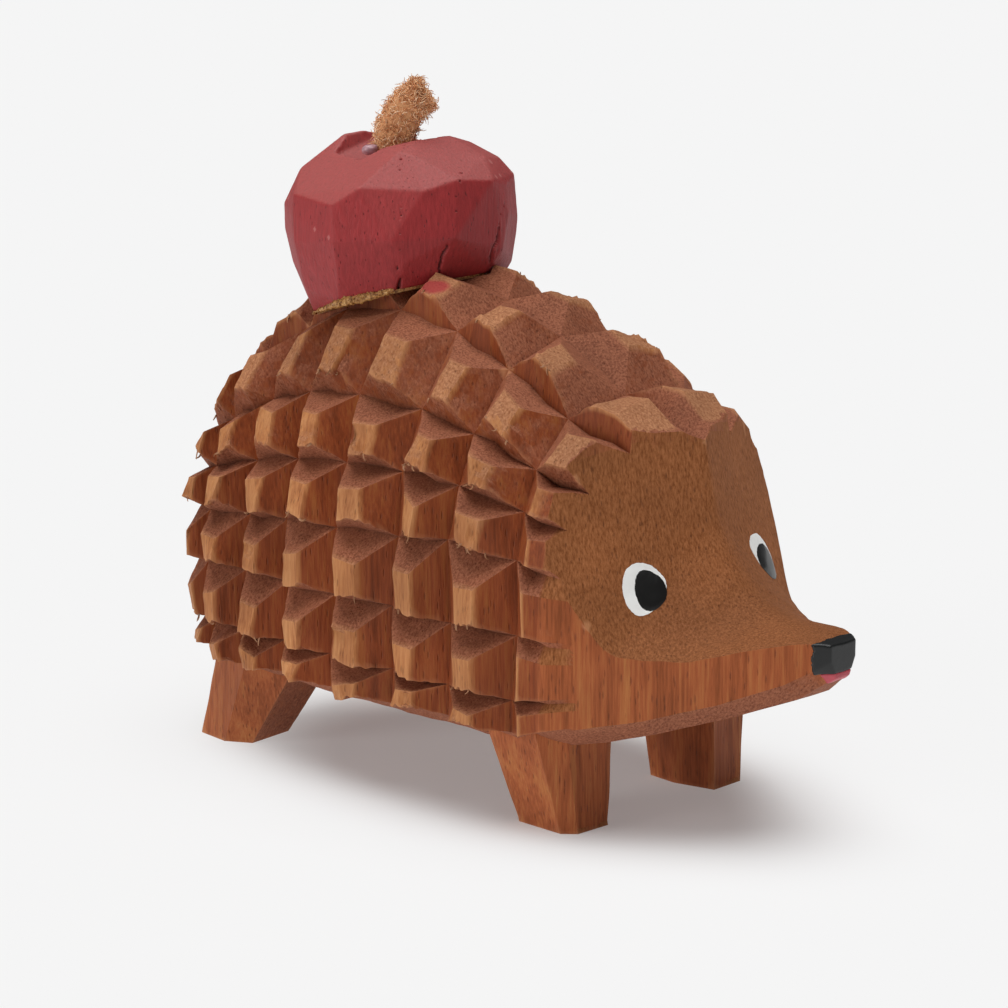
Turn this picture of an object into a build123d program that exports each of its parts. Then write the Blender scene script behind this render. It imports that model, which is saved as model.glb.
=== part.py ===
from build123d import *
from itertools import combinations
from math import atan2, cos, hypot, radians, sin
import os

# Hand-carved wooden hedgehog with a red apple on its back. +X is the nose,
# +Y the hedgehog's left, +Z up. The soles stand on Z = 0 and the origin is
# under the middle of the carving. Millimetres.

os.makedirs("parts", exist_ok=True)

# Overall sizes of the carving
total_length = 110.0
body_width = 53.0
crest_height = 69.8
shoulder_height = 27.3
wall_foot_height = 13.8
belly_height = 11.8
belly_chamfer = 3.0

# The cuts that leave the spines
spine_relief = 4.0
plain_relief = 0.15
ring_cut_slope = 4.4
rear_spine_pitch = 9.9
rear_spine_gap = 0.5
rear_cut_slope_angle = 42.0

# Head
head_width = 48.9
face_reach = 28.2

# Paint on the head: eyes, nose and mouth
eye_right_width = 6.1
eye_left_width = 7.0
eye_height = 7.3
pupil_right_width = 4.7
pupil_left_width = 5.3
pupil_height = 5.8
pupil_inward_shift = 0.55
pupil_outward_shift = 0.4
pupil_down_shift = 0.8
pupil_thickness = 0.35
pupil_edge_radius = 0.2
paint_thickness = 0.3
paint_bed = 1.6
nose_paint_length = 2.4
nose_paint_height = 4.0
mouth_length = 1.9
nose_mouth_gap = 0.1

# Apple, its seat on the back, its dowel and the glue under it
apple_width = 33.4
apple_height = 22.4
apple_turn = 43.7
apple_dimple_depth = 4.4
seat_tilt = 17.0
seat_margin = 0.8
glue_film = 0.3
glue_bead = 1.5
dowel_diameter = 6.0
dowel_length = 16.0
dowel_end_room = 0.5
dowel_clearance = 0.05

# Suede strip that stands in the apple as its stem
stem_width = 5.4
stem_thickness = 2.6
stem_corner = 0.5
stem_above_rim = 8.8
stem_depth = 4.0
stem_lean = 4.4
stem_turn = 43.7
stem_offset = 1.9
stem_clearance = 0.05
stem_glue_width = 2.4
stem_glue_height = 3.4
stem_glue_slope = 12.0

overrun = 40.0
hull_fit = 0.0001

half_length = total_length / 2
groove_half_width = body_width / 2 - spine_relief

# Bottoms of the ring cuts from the rear to the face, as shares of the half
# length, and the same for the stations ahead of them on the head.
ring_shares = (-0.832, -0.671, -0.507, -0.321, -0.105, 0.089, 0.309)
rear_cap_share = -0.939
ring_width_shares = (0.905, 0.955, 0.985, 1.010, 1.000, 0.998, 1.000)
ring_crest_shares = (0.813, 0.928, 0.983, 0.988, 0.941, 0.876, 0.806)
ring_roundness_shares = (1.95, 1.90, 1.92, 1.95, 2.15, 2.4, 2.7)
rear_cap_width_share = 0.70
rear_cap_crest_share = 0.72

# Head stations: place along the half length, half width as a share of half
# the head's width, and crest, wall foot and chin as shares of crest height.
head_shares = (
    (0.375, 1.040, 0.788, 0.212, 0.172),
    (0.436, 1.000, 0.783, 0.224, 0.182),
    (0.508, 0.888, 0.785, 0.236, 0.194),
    (0.636, 0.690, 0.750, 0.258, 0.224),
    (0.784, 0.462, 0.740, 0.296, 0.263),
    (0.912, 0.264, 0.730, 0.340, 0.303),
    (0.960, 0.180, 0.722, 0.362, 0.325),
    (1.000, 0.108, 0.715, 0.395, 0.362),
)

# Row cuts: low on the wall as shares from its foot to the shoulder, and
# above the shoulder as angles round the section, up to the crest.
low_row_shares = (0.0, 0.34, 1.0)
high_row_angles = (13.5, 26.5, 41.0, 65.5, 90.0)
row_under_share = 0.15
row_over_share = 0.38
row_lead_share = 0.12
ring_slope_share = 0.36
fading_depth_share = 0.4

# Lines across the face, from the middle ridge out to the face's reach. Each
# end is a share of the half length ahead and of the crest height up.
face_ridge_shares = (
    (0.523, 1.20), (0.556, 0.782), (0.579, 0.690), (0.603, 0.598), (0.646, 0.534),
    (0.704, 0.472), (0.784, 0.442), (0.881, 0.431), (0.983, 0.420), (1.055, 0.412),
)
face_side_shares = (
    (0.310, 1.20), (0.345, 0.710), (0.405, 0.525), (0.545, 0.280), (0.640, 0.241),
    (0.732, 0.244), (0.815, 0.275), (0.914, 0.327), (0.983, 0.434), (1.055, 0.427),
)
eye_across_share = 0.427
eye_line = 2
eye_down_share = 0.78

# Soles and tops of the two right legs, as shares of the half length ahead
# and of half the body's width out from the middle.
front_sole_shares = (
    (0.255, -0.69), (0.400, -0.70), (0.432, -0.64), (0.435, -0.42), (0.320, -0.37), (0.231, -0.39),
)
front_top_shares = (
    (0.191, -0.81), (0.365, -0.82), (0.416, -0.70), (0.437, -0.40), (0.320, -0.33), (0.199, -0.35),
)
rear_sole_shares = (
    (-0.905, -0.73), (-0.798, -0.76), (-0.729, -0.68), (-0.745, -0.38), (-0.826, -0.36), (-0.908, -0.39),
)
rear_top_shares = (
    (-0.831, -0.72), (-0.683, -0.79), (-0.550, -0.66), (-0.550, -0.34), (-0.683, -0.32), (-0.816, -0.35),
)
leg_top_share = 1.25

# Place of the apple's seat, back from the middle and up
seat_back_share = 0.476
seat_height_share = 0.944
seat_back = seat_back_share * half_length
seat_height = seat_height_share * crest_height

# Corners of the apple's facets, as shares of half its width to the side and
# to the front of apple_turn, and of its height over the middle of the seat.
apple_rim_shares = (
    (-0.62, -0.03, 0.90), (-0.36, 0.30, 0.89), (-0.14, 0.32, 0.96), (0.11, 0.28, 0.99), (0.40, 0.04, 1.00),
    (0.57, -0.12, 0.95), (0.43, -0.36, 0.92), (0.10, -0.44, 0.92), (-0.19, -0.44, 0.97), (-0.36, -0.33, 1.00),
    (-0.51, -0.22, 0.99),
)
apple_shoulder_shares = (
    (-0.88, -0.09, 0.79), (-0.92, 0.27, 0.66), (-0.74, 0.51, 0.63), (-0.59, 0.68, 0.63), (-0.35, 0.71, 0.74),
    (-0.02, 0.49, 0.94), (0.13, 0.54, 0.91), (0.20, 0.79, 0.73), (0.47, 0.71, 0.79), (0.71, 0.29, 0.89),
    (0.77, 0.52, 0.77), (0.82, 0.06, 0.87), (0.87, 0.30, 0.72), (0.95, 0.00, 0.76), (0.73, -0.54, 0.79),
    (0.28, -0.80, 0.76), (-0.20, -0.81, 0.78), (-0.66, -0.58, 0.79),
)
apple_side_shares = (
    (-1.02, 0.00, 0.58), (-1.02, -0.04, 0.42), (-0.93, 0.29, 0.53), (-0.92, 0.31, 0.37), (-0.57, 0.76, 0.42),
    (-0.08, 0.90, 0.43), (0.05, 0.86, 0.31), (0.46, 0.83, 0.45), (0.90, 0.31, 0.55), (0.85, 0.40, 0.33),
    (0.98, 0.04, 0.50), (0.97, 0.01, 0.40), (0.85, -0.48, 0.44), (0.43, -0.85, 0.43), (-0.11, -0.95, 0.42),
    (-0.62, -0.77, 0.44), (-0.93, -0.39, 0.44), (-0.95, 0.04, 0.22), (-0.84, 0.22, 0.08), (-0.54, 0.70, 0.22),
    (0.81, 0.36, 0.26), (0.93, 0.04, 0.22),
)
apple_foot_shares = (
    (-0.77, 0.04), (-0.53, 0.59), (-0.06, 0.77), (0.29, 0.73), (0.70, 0.44), (0.88, 0.05), (0.81, -0.35),
    (0.55, -0.67), (0.08, -0.80), (-0.39, -0.69), (-0.69, -0.38),
)
dimple_edge_share = 0.93
dimple_floor_share = 0.30
bead_corners = 3

# Stem sections: height from the foot to the tip, lean and width, as shares
stem_section_shares = ((0.0, 0.0, 1.0), (0.32, 0.0, 1.0), (0.62, 0.30, 1.0), (0.88, 0.80, 0.95), (1.0, 1.0, 0.62))


def between(x, xs, values):
    """Value at x on straight lines through the given places."""
    if x <= xs[0]:
        return values[0]
    for x0, x1, v0, v1 in zip(xs, xs[1:], values, values[1:]):
        if x <= x1:
            return v0 + (v1 - v0) * (x - x0) / (x1 - x0)
    return values[-1]


ring_places = [share * half_length for share in ring_shares]
rear_cap = rear_cap_share * half_length
body_places = [rear_cap] + ring_places
width_shares = (rear_cap_width_share,) + ring_width_shares
crest_shares = (rear_cap_crest_share,) + ring_crest_shares
roundness_shares = (ring_roundness_shares[0],) + ring_roundness_shares


def row_ends(half_width, crest, roundness, foot, shoulder):
    """Bottoms of the row cuts on the right half of a section, foot to crest."""
    ends = [(-half_width, foot + share * (shoulder - foot)) for share in low_row_shares]
    for angle in high_row_angles:
        out = cos(radians(angle)) ** (2 / roundness) if angle < 90 else 0.0
        rise = sin(radians(angle)) ** (2 / roundness)
        ends.append((-half_width * out, shoulder + (crest - shoulder) * rise))
    return ends


def outline(ends, belly, relief, depth):
    """Closed section: cut bottoms at their depth, with a raised flat between two cuts."""
    right = []
    for index, ((y0, z0), (y1, z1)) in enumerate(zip(ends, ends[1:])):
        length = hypot(y1 - y0, z1 - z0)
        out_y, out_z = -(z1 - z0) / length, (y1 - y0) / length
        raised = relief > plain_relief
        under = row_under_share if raised else row_lead_share
        over = row_over_share if raised else row_lead_share
        lift = relief * (1 - depth)
        if index:
            y_before, z_before = ends[index - 1]
            span = hypot(y1 - y_before, z1 - z_before)
            cut_y, cut_z = -(z1 - z_before) / span, (y1 - y_before) / span
        else:
            cut_y, cut_z = out_y, out_z
        right.append((y0 + cut_y * lift, z0 + cut_z * lift))
        for share in (under, 1 - over):
            y, z = y0 + share * (y1 - y0), z0 + share * (z1 - z0)
            right.append((y + out_y * relief, z + out_z * relief))
    crest_y, crest_z = ends[-1]
    crest_point = (crest_y, crest_z + relief * (1 - depth))
    belly_y = min(ends[0][0] + belly_chamfer, ends[0][0] / 2)
    right = [(belly_y, belly)] + right
    left = [(-y, z) for y, z in reversed(right)]
    return right + [crest_point] + left


def body_outline(x, relief, depth):
    """Section of the spiny body at x."""
    half_width = groove_half_width * between(x, body_places, width_shares)
    crest = crest_height * between(x, body_places, crest_shares)
    roundness = between(x, body_places, roundness_shares)
    ends = row_ends(half_width, crest, roundness, wall_foot_height, shoulder_height)
    return outline(ends, belly_height, relief, depth)


def head_outline(width_share, crest_share, foot_share, chin_share, relief, depth):
    """Section of the head, whose faces are plain except beside the last ring cut."""
    half_width = head_width / 2 * width_share - relief
    foot = crest_height * foot_share
    shoulder = max(shoulder_height, foot + belly_chamfer)
    crest = crest_height * crest_share
    ends = row_ends(half_width, crest, ring_roundness_shares[-1], foot, shoulder)
    return outline(ends, crest_height * chin_share, relief, depth)


def face_plane_points(side_shares_used):
    """Closed profile ahead of and above the face, on a plane along X and Z."""
    points = [(x * half_length, z * crest_height) for x, z in side_shares_used]
    far = half_length + overrun
    return points + [(far, points[-1][1]), (far, points[0][1])]


# The block that the spines are cut from, one section after the other
sections = [(rear_cap, body_outline(rear_cap, plain_relief, 1.0))]
ring_starts = [rear_cap] + ring_places
for start, end in zip(ring_starts, ring_places):
    slope = min(ring_cut_slope, (end - start) * ring_slope_share)
    for x in (start + slope, end - slope):
        sections.append((x, body_outline(x, spine_relief, 1.0)))
    sections.append((end, body_outline(end, plain_relief, 1.0)))
for number, (x_share, width, crest, foot, chin) in enumerate(head_shares):
    relief = spine_relief if number < 2 else plain_relief
    depth = 1.0 if number == 0 else fading_depth_share
    sections.append((x_share * half_length, head_outline(width, crest, foot, chin, relief, depth)))

with BuildPart() as spiny_block:
    for x, points in sections:
        with BuildSketch(Plane.YZ.offset(x)):
            with BuildLine():
                Polyline(*points, close=True)
            make_face()
    loft(ruled=True)

# What is cut away in front of the face, one side and its mirror
with BuildPart() as face_cut:
    for distance, shares in ((0.0, face_ridge_shares), (face_reach, face_side_shares)):
        with BuildSketch(Plane.XZ.offset(distance)):
            with BuildLine():
                Polyline(*face_plane_points(shares), close=True)
            make_face()
    loft(ruled=True)
    mirror(about=Plane.XZ)


def leg(sole_shares, top_shares):
    """Right leg, splayed and faceted, from its sole into the belly, and its mirror."""
    with BuildPart() as one_leg:
        for height, shares in ((0.0, sole_shares), (leg_top_share * belly_height, top_shares)):
            with BuildSketch(Plane.XY.offset(height)):
                with BuildLine():
                    Polyline(*[(x * half_length, y * body_width / 2) for x, y in shares], close=True)
                make_face()
        loft(ruled=True)
        mirror(about=Plane.XZ)
    return one_leg.part


front_legs = leg(front_sole_shares, front_top_shares)
rear_legs = leg(rear_sole_shares, rear_top_shares)

seat_plane = Plane(
    origin=(-seat_back, 0, seat_height),
    x_dir=(cos(radians(seat_tilt)), 0, sin(radians(seat_tilt))),
    z_dir=(-sin(radians(seat_tilt)), 0, cos(radians(seat_tilt))),
)


def apple_point(side, near, height):
    """Corner of a facet from its shares."""
    across, ahead = side * apple_width / 2, near * apple_width / 2
    turn = radians(apple_turn)
    return Vector(
        -seat_back + across * cos(turn) + ahead * sin(turn),
        across * sin(turn) - ahead * cos(turn),
        seat_height + height * apple_height,
    )


def on_seat(corner, film):
    """The corner moved straight up or down to a film's height over the seat."""
    along = corner.X + seat_back
    rise = (film + sin(radians(seat_tilt)) * along) / cos(radians(seat_tilt))
    return Vector(corner.X, corner.Y, seat_height + rise)


apple_foot = [apple_point(side, near, 0.0) for side, near in apple_foot_shares]


with BuildSketch() as foot_sketch:
    with BuildLine():
        Polyline(*[((corner.X + seat_back) / cos(radians(seat_tilt)), corner.Y) for corner in apple_foot], close=True)
    make_face()
foot_face = foot_sketch.sketch


rear_plane = Plane(origin=(rear_cap, 0, shoulder_height), x_dir=(0, -1, 0), z_dir=(-1, 0, 0))
rear_rows = ((-0.5, 3), (0.5, 3), (1.5, 1))
rear_spine_height = half_length + rear_cap

with BuildPart() as carved_body:
    add(spiny_block.part)
    add(face_cut.part, mode=Mode.SUBTRACT)
    add(front_legs)
    add(rear_legs)
    with BuildSketch(rear_plane):
        for row, count in rear_rows:
            with Locations((0, row * rear_spine_pitch)):
                with GridLocations(rear_spine_pitch, rear_spine_pitch, count, 1):
                    Rectangle(rear_spine_pitch - rear_spine_gap, rear_spine_pitch - rear_spine_gap)
    extrude(amount=rear_spine_height, taper=rear_cut_slope_angle)
    with BuildSketch(seat_plane):
        add(foot_face)
        offset(amount=seat_margin)
    extrude(amount=overrun, mode=Mode.SUBTRACT)
    with BuildSketch(seat_plane):
        Circle(dowel_diameter / 2 + dowel_clearance)
    extrude(amount=-(dowel_length / 2 + dowel_end_room), mode=Mode.SUBTRACT)


def face_point(across, down):
    """Point on the right side of the face, and the two directions along it."""
    ends = []
    for line in (eye_line, eye_line + 1):
        inner = Vector(face_ridge_shares[line][0] * half_length, 0, face_ridge_shares[line][1] * crest_height)
        outer = Vector(
            face_side_shares[line][0] * half_length, -face_reach, face_side_shares[line][1] * crest_height
        )
        ends.append((inner, outer))
    upper = ends[0][0] + (ends[0][1] - ends[0][0]) * across
    lower = ends[1][0] + (ends[1][1] - ends[1][0]) * across
    outward = (ends[0][1] - ends[0][0]) * (1 - down) + (ends[1][1] - ends[1][0]) * down
    return upper + (lower - upper) * down, outward, lower - upper


def eye_plane(side):
    """Plane on the face at one eye, X away from the ridge and Z off the face."""
    center, outward, downward = face_point(eye_across_share, eye_down_share)
    normal = outward.cross(downward)
    return Plane(
        origin=(center.X, -side * center.Y, center.Z),
        x_dir=(outward.X, -side * outward.Y, outward.Z),
        z_dir=(normal.X, -side * normal.Y, normal.Z),
    )


def eye_white(side, width):
    """Disc of white paint on the face."""
    with BuildPart() as disc:
        with BuildSketch(eye_plane(side).offset(-paint_bed)):
            Ellipse(width / 2, eye_height / 2)
        extrude(amount=paint_bed + paint_thickness)
        add(carved_body.part, mode=Mode.SUBTRACT)
    return disc.part


def pupil(side, width, across, white):
    """Drop of black paint on the white, set off its middle."""
    plane = eye_plane(side)
    with BuildPart() as drop:
        with BuildSketch(plane.offset(-paint_bed)):
            with Locations((across, -side * pupil_down_shift)):
                Ellipse(width / 2, pupil_height / 2)
        extrude(amount=paint_bed + paint_thickness + pupil_thickness)
        fillet(drop.edges().sort_by(Axis(plane.origin, plane.z_dir))[-1], radius=pupil_edge_radius)
        add(carved_body.part, mode=Mode.SUBTRACT)
        add(white, mode=Mode.SUBTRACT)
    return drop.part


right, left = -1, 1
with BuildPart() as eye_white_right:
    add(eye_white(right, eye_right_width))

with BuildPart() as eye_white_left:
    add(eye_white(left, eye_left_width))

with BuildPart() as pupil_right:
    add(pupil(right, pupil_right_width, -pupil_inward_shift, eye_white_right.part))

with BuildPart() as pupil_left:
    add(pupil(left, pupil_left_width, pupil_outward_shift, eye_white_left.part))

nose_top = face_ridge_shares[-1][1] * crest_height
nose_paint_foot = nose_top - nose_paint_height


def nose_cover(length):
    """Block that stands one coat of paint proud of the tip of the snout."""
    places = [share[0] * half_length for share in head_shares]
    rows = [(share[1] * head_width / 2, share[4] * crest_height) for share in head_shares]
    with BuildPart() as cover:
        for x in (half_length - length, half_length + paint_thickness):
            half_width = between(x, places, [row[0] for row in rows]) + paint_thickness
            chin = between(x, places, [row[1] for row in rows]) - paint_thickness
            top = nose_top + paint_bed
            with BuildSketch(Plane.YZ.offset(x)):
                with Locations((0, (chin + top) / 2)):
                    Rectangle(2 * half_width, top - chin)
        loft(ruled=True)
        split(bisect_by=Plane.XY.offset(nose_top + 2 * paint_thickness), keep=Keep.BOTTOM)
    return cover.part


with BuildPart() as nose_paint:
    add(nose_cover(nose_paint_length))
    split(bisect_by=Plane.XY.offset(nose_paint_foot), keep=Keep.TOP)
    add(carved_body.part, mode=Mode.SUBTRACT)

with BuildPart() as mouth_paint:
    add(nose_cover(mouth_length))
    split(bisect_by=Plane.XY.offset(nose_paint_foot - nose_mouth_gap), keep=Keep.BOTTOM)
    add(carved_body.part, mode=Mode.SUBTRACT)

# The apple, carved in facets with a bowl in its top

def hull(points):
    """Convex solid round some points: three of them carry a face where no other point lies outside their plane."""
    faces = {}
    for first, second, third in combinations(points, 3):
        normal = (second - first).cross(third - first).normalized()
        level = first.dot(normal)
        levels = [point.dot(normal) for point in points]
        if max(levels) > level + hull_fit:
            normal, level, levels = -normal, -level, [-value for value in levels]
        if max(levels) > level + hull_fit:
            continue
        corners = [point for point, value in zip(points, levels) if value > level - hull_fit]
        middle = sum(corners, Vector()) / len(corners)
        plane = Plane(origin=middle, x_dir=first - middle, z_dir=normal)
        places = [(plane.to_local_coords(corner), corner) for corner in corners]
        places.sort(key=lambda place: atan2(place[0].Y, place[0].X))
        key = tuple(points.index(corner) for corner in corners)
        faces[key] = Face(Wire.make_polygon([corner for _, corner in places], close=True))
    return Solid(Shell(list(faces.values())))


rim_height = seat_height + apple_height
stem_axis = (cos(radians(stem_turn)), sin(radians(stem_turn)), 0)
stem_foot = rim_height - apple_dimple_depth - stem_depth
stem_length = rim_height + stem_above_rim - stem_foot


def stem_plane(height, lean):
    """Plane across the stem, at a height over its foot and leaned along its width."""
    along = lean - stem_offset
    origin = (-seat_back + stem_axis[0] * along, stem_axis[1] * along, stem_foot + height)
    return Plane(origin=origin, x_dir=stem_axis, z_dir=(0, 0, 1))


corner_shares = apple_rim_shares + apple_shoulder_shares + apple_side_shares
apple_corners = [apple_point(*shares) for shares in corner_shares]
apple_corners += [on_seat(corner, glue_film) for corner in apple_foot]

dimple_floor = 1 - apple_dimple_depth / apple_height
bowl_corners = []
for side, near, height in apple_rim_shares:
    edge = apple_point(side * dimple_edge_share, near * dimple_edge_share, height)
    bowl_corners += [edge, edge + Vector(0, 0, overrun)]
    bowl_corners.append(apple_point(side * dimple_floor_share, near * dimple_floor_share, dimple_floor))

with BuildPart() as apple:
    add(hull(apple_corners))
    add(hull(bowl_corners), mode=Mode.SUBTRACT)
    with BuildSketch(seat_plane):
        Circle(dowel_diameter / 2 + dowel_clearance)
    extrude(amount=dowel_length / 2 + dowel_end_room, mode=Mode.SUBTRACT)
    with BuildSketch(stem_plane(0, 0)):
        Rectangle(stem_width + 2 * stem_clearance, stem_thickness + 2 * stem_clearance)
    extrude(amount=stem_depth + apple_dimple_depth, mode=Mode.SUBTRACT)

with BuildPart() as apple_dowel:
    with BuildSketch(seat_plane.offset(-dowel_length / 2)):
        Circle(dowel_diameter / 2)
    extrude(amount=dowel_length)
    chamfer(apple_dowel.edges().filter_by(GeomType.CIRCLE), length=dowel_end_room)

with BuildPart() as apple_stem:
    for height_share, lean_share, width_share in stem_section_shares:
        with BuildSketch(stem_plane(height_share * stem_length, lean_share * stem_lean)):
            RectangleRounded(stem_width * width_share, stem_thickness, stem_corner)
    loft(ruled=True)

# Glue: a film under the apple, with a bead that was pressed out in front
with BuildPart() as apple_glue:
    with BuildLine() as bead_path:
        ThreePointArc(*[on_seat(corner, glue_film / 2) for corner in apple_foot[:bead_corners]])
    with BuildSketch(Plane(origin=bead_path.line @ 0, z_dir=bead_path.line % 0)):
        Circle(glue_bead / 2)
    sweep(path=bead_path.line)
    add(carved_body.part, mode=Mode.SUBTRACT)
    add(apple.part, mode=Mode.SUBTRACT)
    with BuildSketch(seat_plane):
        add(foot_face)
        Circle(dowel_diameter / 2 + dowel_clearance, mode=Mode.SUBTRACT)
    extrude(amount=glue_film)

with BuildPart() as stem_glue:
    with BuildSketch(stem_plane(stem_depth, -stem_width / 2)):
        Circle(stem_glue_width / 2)
    extrude(amount=stem_glue_height, taper=stem_glue_slope)
    add(apple.part, mode=Mode.SUBTRACT)
    add(apple_stem.part, mode=Mode.SUBTRACT)

pieces = {
    "carved_body": carved_body,
    "eye_white_right": eye_white_right,
    "eye_white_left": eye_white_left,
    "pupil_right": pupil_right,
    "pupil_left": pupil_left,
    "nose_paint": nose_paint,
    "mouth_paint": mouth_paint,
    "apple": apple,
    "apple_dowel": apple_dowel,
    "apple_stem": apple_stem,
    "apple_glue": apple_glue,
    "stem_glue": stem_glue,
}
for name, piece in pieces.items():
    piece.part.label = name
    export_step(piece.part, f"parts/{name}.step")
    print(name, piece.part.is_valid, len(piece.part.solids()), round(piece.part.volume, 2))
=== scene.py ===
import math

import bmesh
import bpy
import numpy as np
from mathutils import Matrix, Vector


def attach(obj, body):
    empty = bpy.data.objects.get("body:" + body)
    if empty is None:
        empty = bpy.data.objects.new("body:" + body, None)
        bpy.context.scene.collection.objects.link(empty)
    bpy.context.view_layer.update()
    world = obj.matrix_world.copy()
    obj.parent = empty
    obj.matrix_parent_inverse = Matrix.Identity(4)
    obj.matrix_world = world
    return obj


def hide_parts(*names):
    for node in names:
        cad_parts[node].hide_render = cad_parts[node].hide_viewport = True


bl_info = {
    "name": "Carved hedgehog with apple",
    "version": (1, 0, 0),
    "blender": (4, 5, 0),
    "location": "3D Viewport > Sidebar > Hedgehog",
    "description": "Builds a hand-carved wooden hedgehog that carries a red apple",
    "category": "Object",
}

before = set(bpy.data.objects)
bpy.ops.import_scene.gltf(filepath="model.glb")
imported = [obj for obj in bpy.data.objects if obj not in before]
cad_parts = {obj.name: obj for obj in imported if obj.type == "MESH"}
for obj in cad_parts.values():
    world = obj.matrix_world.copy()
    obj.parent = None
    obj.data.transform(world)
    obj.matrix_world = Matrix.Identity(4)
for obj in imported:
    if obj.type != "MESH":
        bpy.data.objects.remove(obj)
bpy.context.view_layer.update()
MM = 0.001


# Sizes and colours

class BodySizes(bpy.types.PropertyGroup):
    """Sizes of the carved block, its spines and its torn fibres."""
    relief: bpy.props.FloatProperty(
        name="Spine height", description="From the bottom of a cut to the top of a spine, in millimetres",
        default=4.0, min=0.5, max=6.0
    )
    cut_run: bpy.props.FloatProperty(
        name="Cut run", description="How far a ring cut's wall runs along the body, in millimetres",
        default=4.4, min=0.5, max=8.0
    )
    unevenness: bpy.props.FloatProperty(
        name="Unevenness", description="How far the knife strays from its line, in millimetres",
        default=0.28, min=0.0, max=1.0
    )
    fray: bpy.props.FloatProperty(
        name="Fray", description="How far the fibres tear at the foot of a spine, in millimetres",
        default=0.85, min=0.0, max=2.0
    )
    splinters: bpy.props.IntProperty(
        name="Splinters", description="Loose slivers at the feet of the spines", default=130, min=0, max=600
    )


class AppleSizes(bpy.types.PropertyGroup):
    """Sizes of the apple, its stem and the glue."""
    fibres: bpy.props.IntProperty(
        name="Suede fibres", description="Loose fibres on the stem", default=3200, min=0, max=8000
    )
    crumbs: bpy.props.IntProperty(
        name="Glue crumbs", description="Grains of sawdust in the glue", default=420, min=0, max=2000
    )


class Finish(bpy.types.PropertyGroup):
    """Colours of the finishes."""
    stain: bpy.props.StringProperty(
        name="Stained wood", description="Middle colour of the long grain, as an sRGB hex value",
        default="a65830"
    )
    paint: bpy.props.StringProperty(
        name="Apple red", description="Paint of the apple, as an sRGB hex value", default="9e3233"
    )


# Small helpers

def linear(code):
    """An sRGB hex colour as linear RGBA."""
    parts = [int(code[i:i + 2], 16) / 255 for i in (0, 2, 4)]
    return tuple(c / 12.92 if c <= 0.04045 else ((c + 0.055) / 1.055) ** 2.4 for c in parts) + (1.0,)


def feed(tree, node, inputs):
    """Gives a node's inputs values, sockets or the results of other nodes."""
    for key, value in inputs.items():
        if isinstance(value, bpy.types.Node):
            value = next(socket for socket in value.outputs if socket.enabled)
        if isinstance(value, bpy.types.NodeSocket):
            tree.links.new(value, node.inputs[key])
        else:
            node.inputs[key].default_value = value


def add_node(tree, kind, inputs=None, **settings):
    """Adds a shader node, sets its properties and feeds its inputs."""
    node = tree.nodes.new("ShaderNode" + kind)
    for name, value in settings.items():
        setattr(node, name, value)
    feed(tree, node, inputs or {})
    return node


def new_material(name):
    """An empty material and its tree, with a Principled shader wired to the output."""
    material = bpy.data.materials.new(name)
    material.use_nodes = True
    tree = material.node_tree
    tree.nodes.clear()
    shader = add_node(tree, "BsdfPrincipled")
    add_node(tree, "OutputMaterial", {"Surface": shader})
    return material, tree, shader


def unit(vectors):
    """The vectors at a length of 1."""
    return vectors / np.linalg.norm(vectors, axis=-1, keepdims=True)


def noise(points, size, seed):
    """Smooth noise from -1 to 1: random values on a lattice, blended by smoothstep between its corners."""
    scaled = np.asarray(points, float) / size
    base = np.floor(scaled).astype(np.int64)
    part = scaled - base
    part = part * part * (3 - 2 * part)
    total = np.zeros(scaled.shape[:-1])
    for corner in range(8):
        step = np.array([corner & 1, (corner >> 1) & 1, (corner >> 2) & 1])
        x, y, z = np.moveaxis((base + step) * np.array([73856093, 19349663, 83492791]), -1, 0)
        code = x ^ y ^ z ^ (seed * 40503)
        code = ((code ^ (code >> 15)) * 2246822519) & 0xFFFFFFFF
        code = ((code ^ (code >> 13)) * 3266489917) & 0xFFFFFFFF
        value = ((code ^ (code >> 16)) & 0xFFFF) / 32767.5 - 1
        total += value * np.where(step == 1, part, 1 - part).prod(axis=-1)
    return total


def layers(points, *marks):
    """Noise in layers, each with its height, its width and its seed."""
    return sum(height * noise(points, width, seed) for height, width, seed in marks)


def grid_quads(rows, columns, around=False, along=False):
    """Quads over a rows by columns grid of points, closed round the columns or the rows if asked."""
    r = np.arange(rows if along else rows - 1)[:, None]
    c = np.arange(columns if around else columns - 1)[None, :]
    r1, c1 = (r + 1) % rows, (c + 1) % columns
    return np.stack(
        [r * columns + c, r * columns + c1, r1 * columns + c1, r1 * columns + c], axis=-1
    ).reshape(-1, 4)


def fan(start, count, pole, flip=False):
    """Triangles from a closed row of points to one pole."""
    a = start + np.arange(count)
    b = start + (np.arange(count) + 1) % count
    p = np.full(count, pole)
    return np.stack([b, a, p] if flip else [a, b, p], axis=-1)


def tube_faces(rows, count):
    """Faces of a closed tube of points, and of fans from its ends to the two poles that come after its
    points."""
    total = rows * count
    ends = [fan(0, count, total, flip=True), fan(total - count, count, total + 1)]
    return [grid_quads(rows, count, around=True)] + ends


def make_mesh(name, points, faces):
    """A mesh in metres from points in millimetres and lists of face arrays."""
    mesh = bpy.data.meshes.new(name)
    polygons = [tuple(face) for group in faces for face in group.tolist()]
    mesh.from_pydata((np.asarray(points, float).reshape(-1, 3) * MM).tolist(), [], polygons)
    mesh.validate()
    mesh.update()
    return mesh


def recalculated(mesh):
    """The mesh with every face turned outwards."""
    work = bmesh.new()
    work.from_mesh(mesh)
    bmesh.ops.recalc_face_normals(work, faces=work.faces)
    work.to_mesh(mesh)
    work.free()
    return mesh


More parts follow.
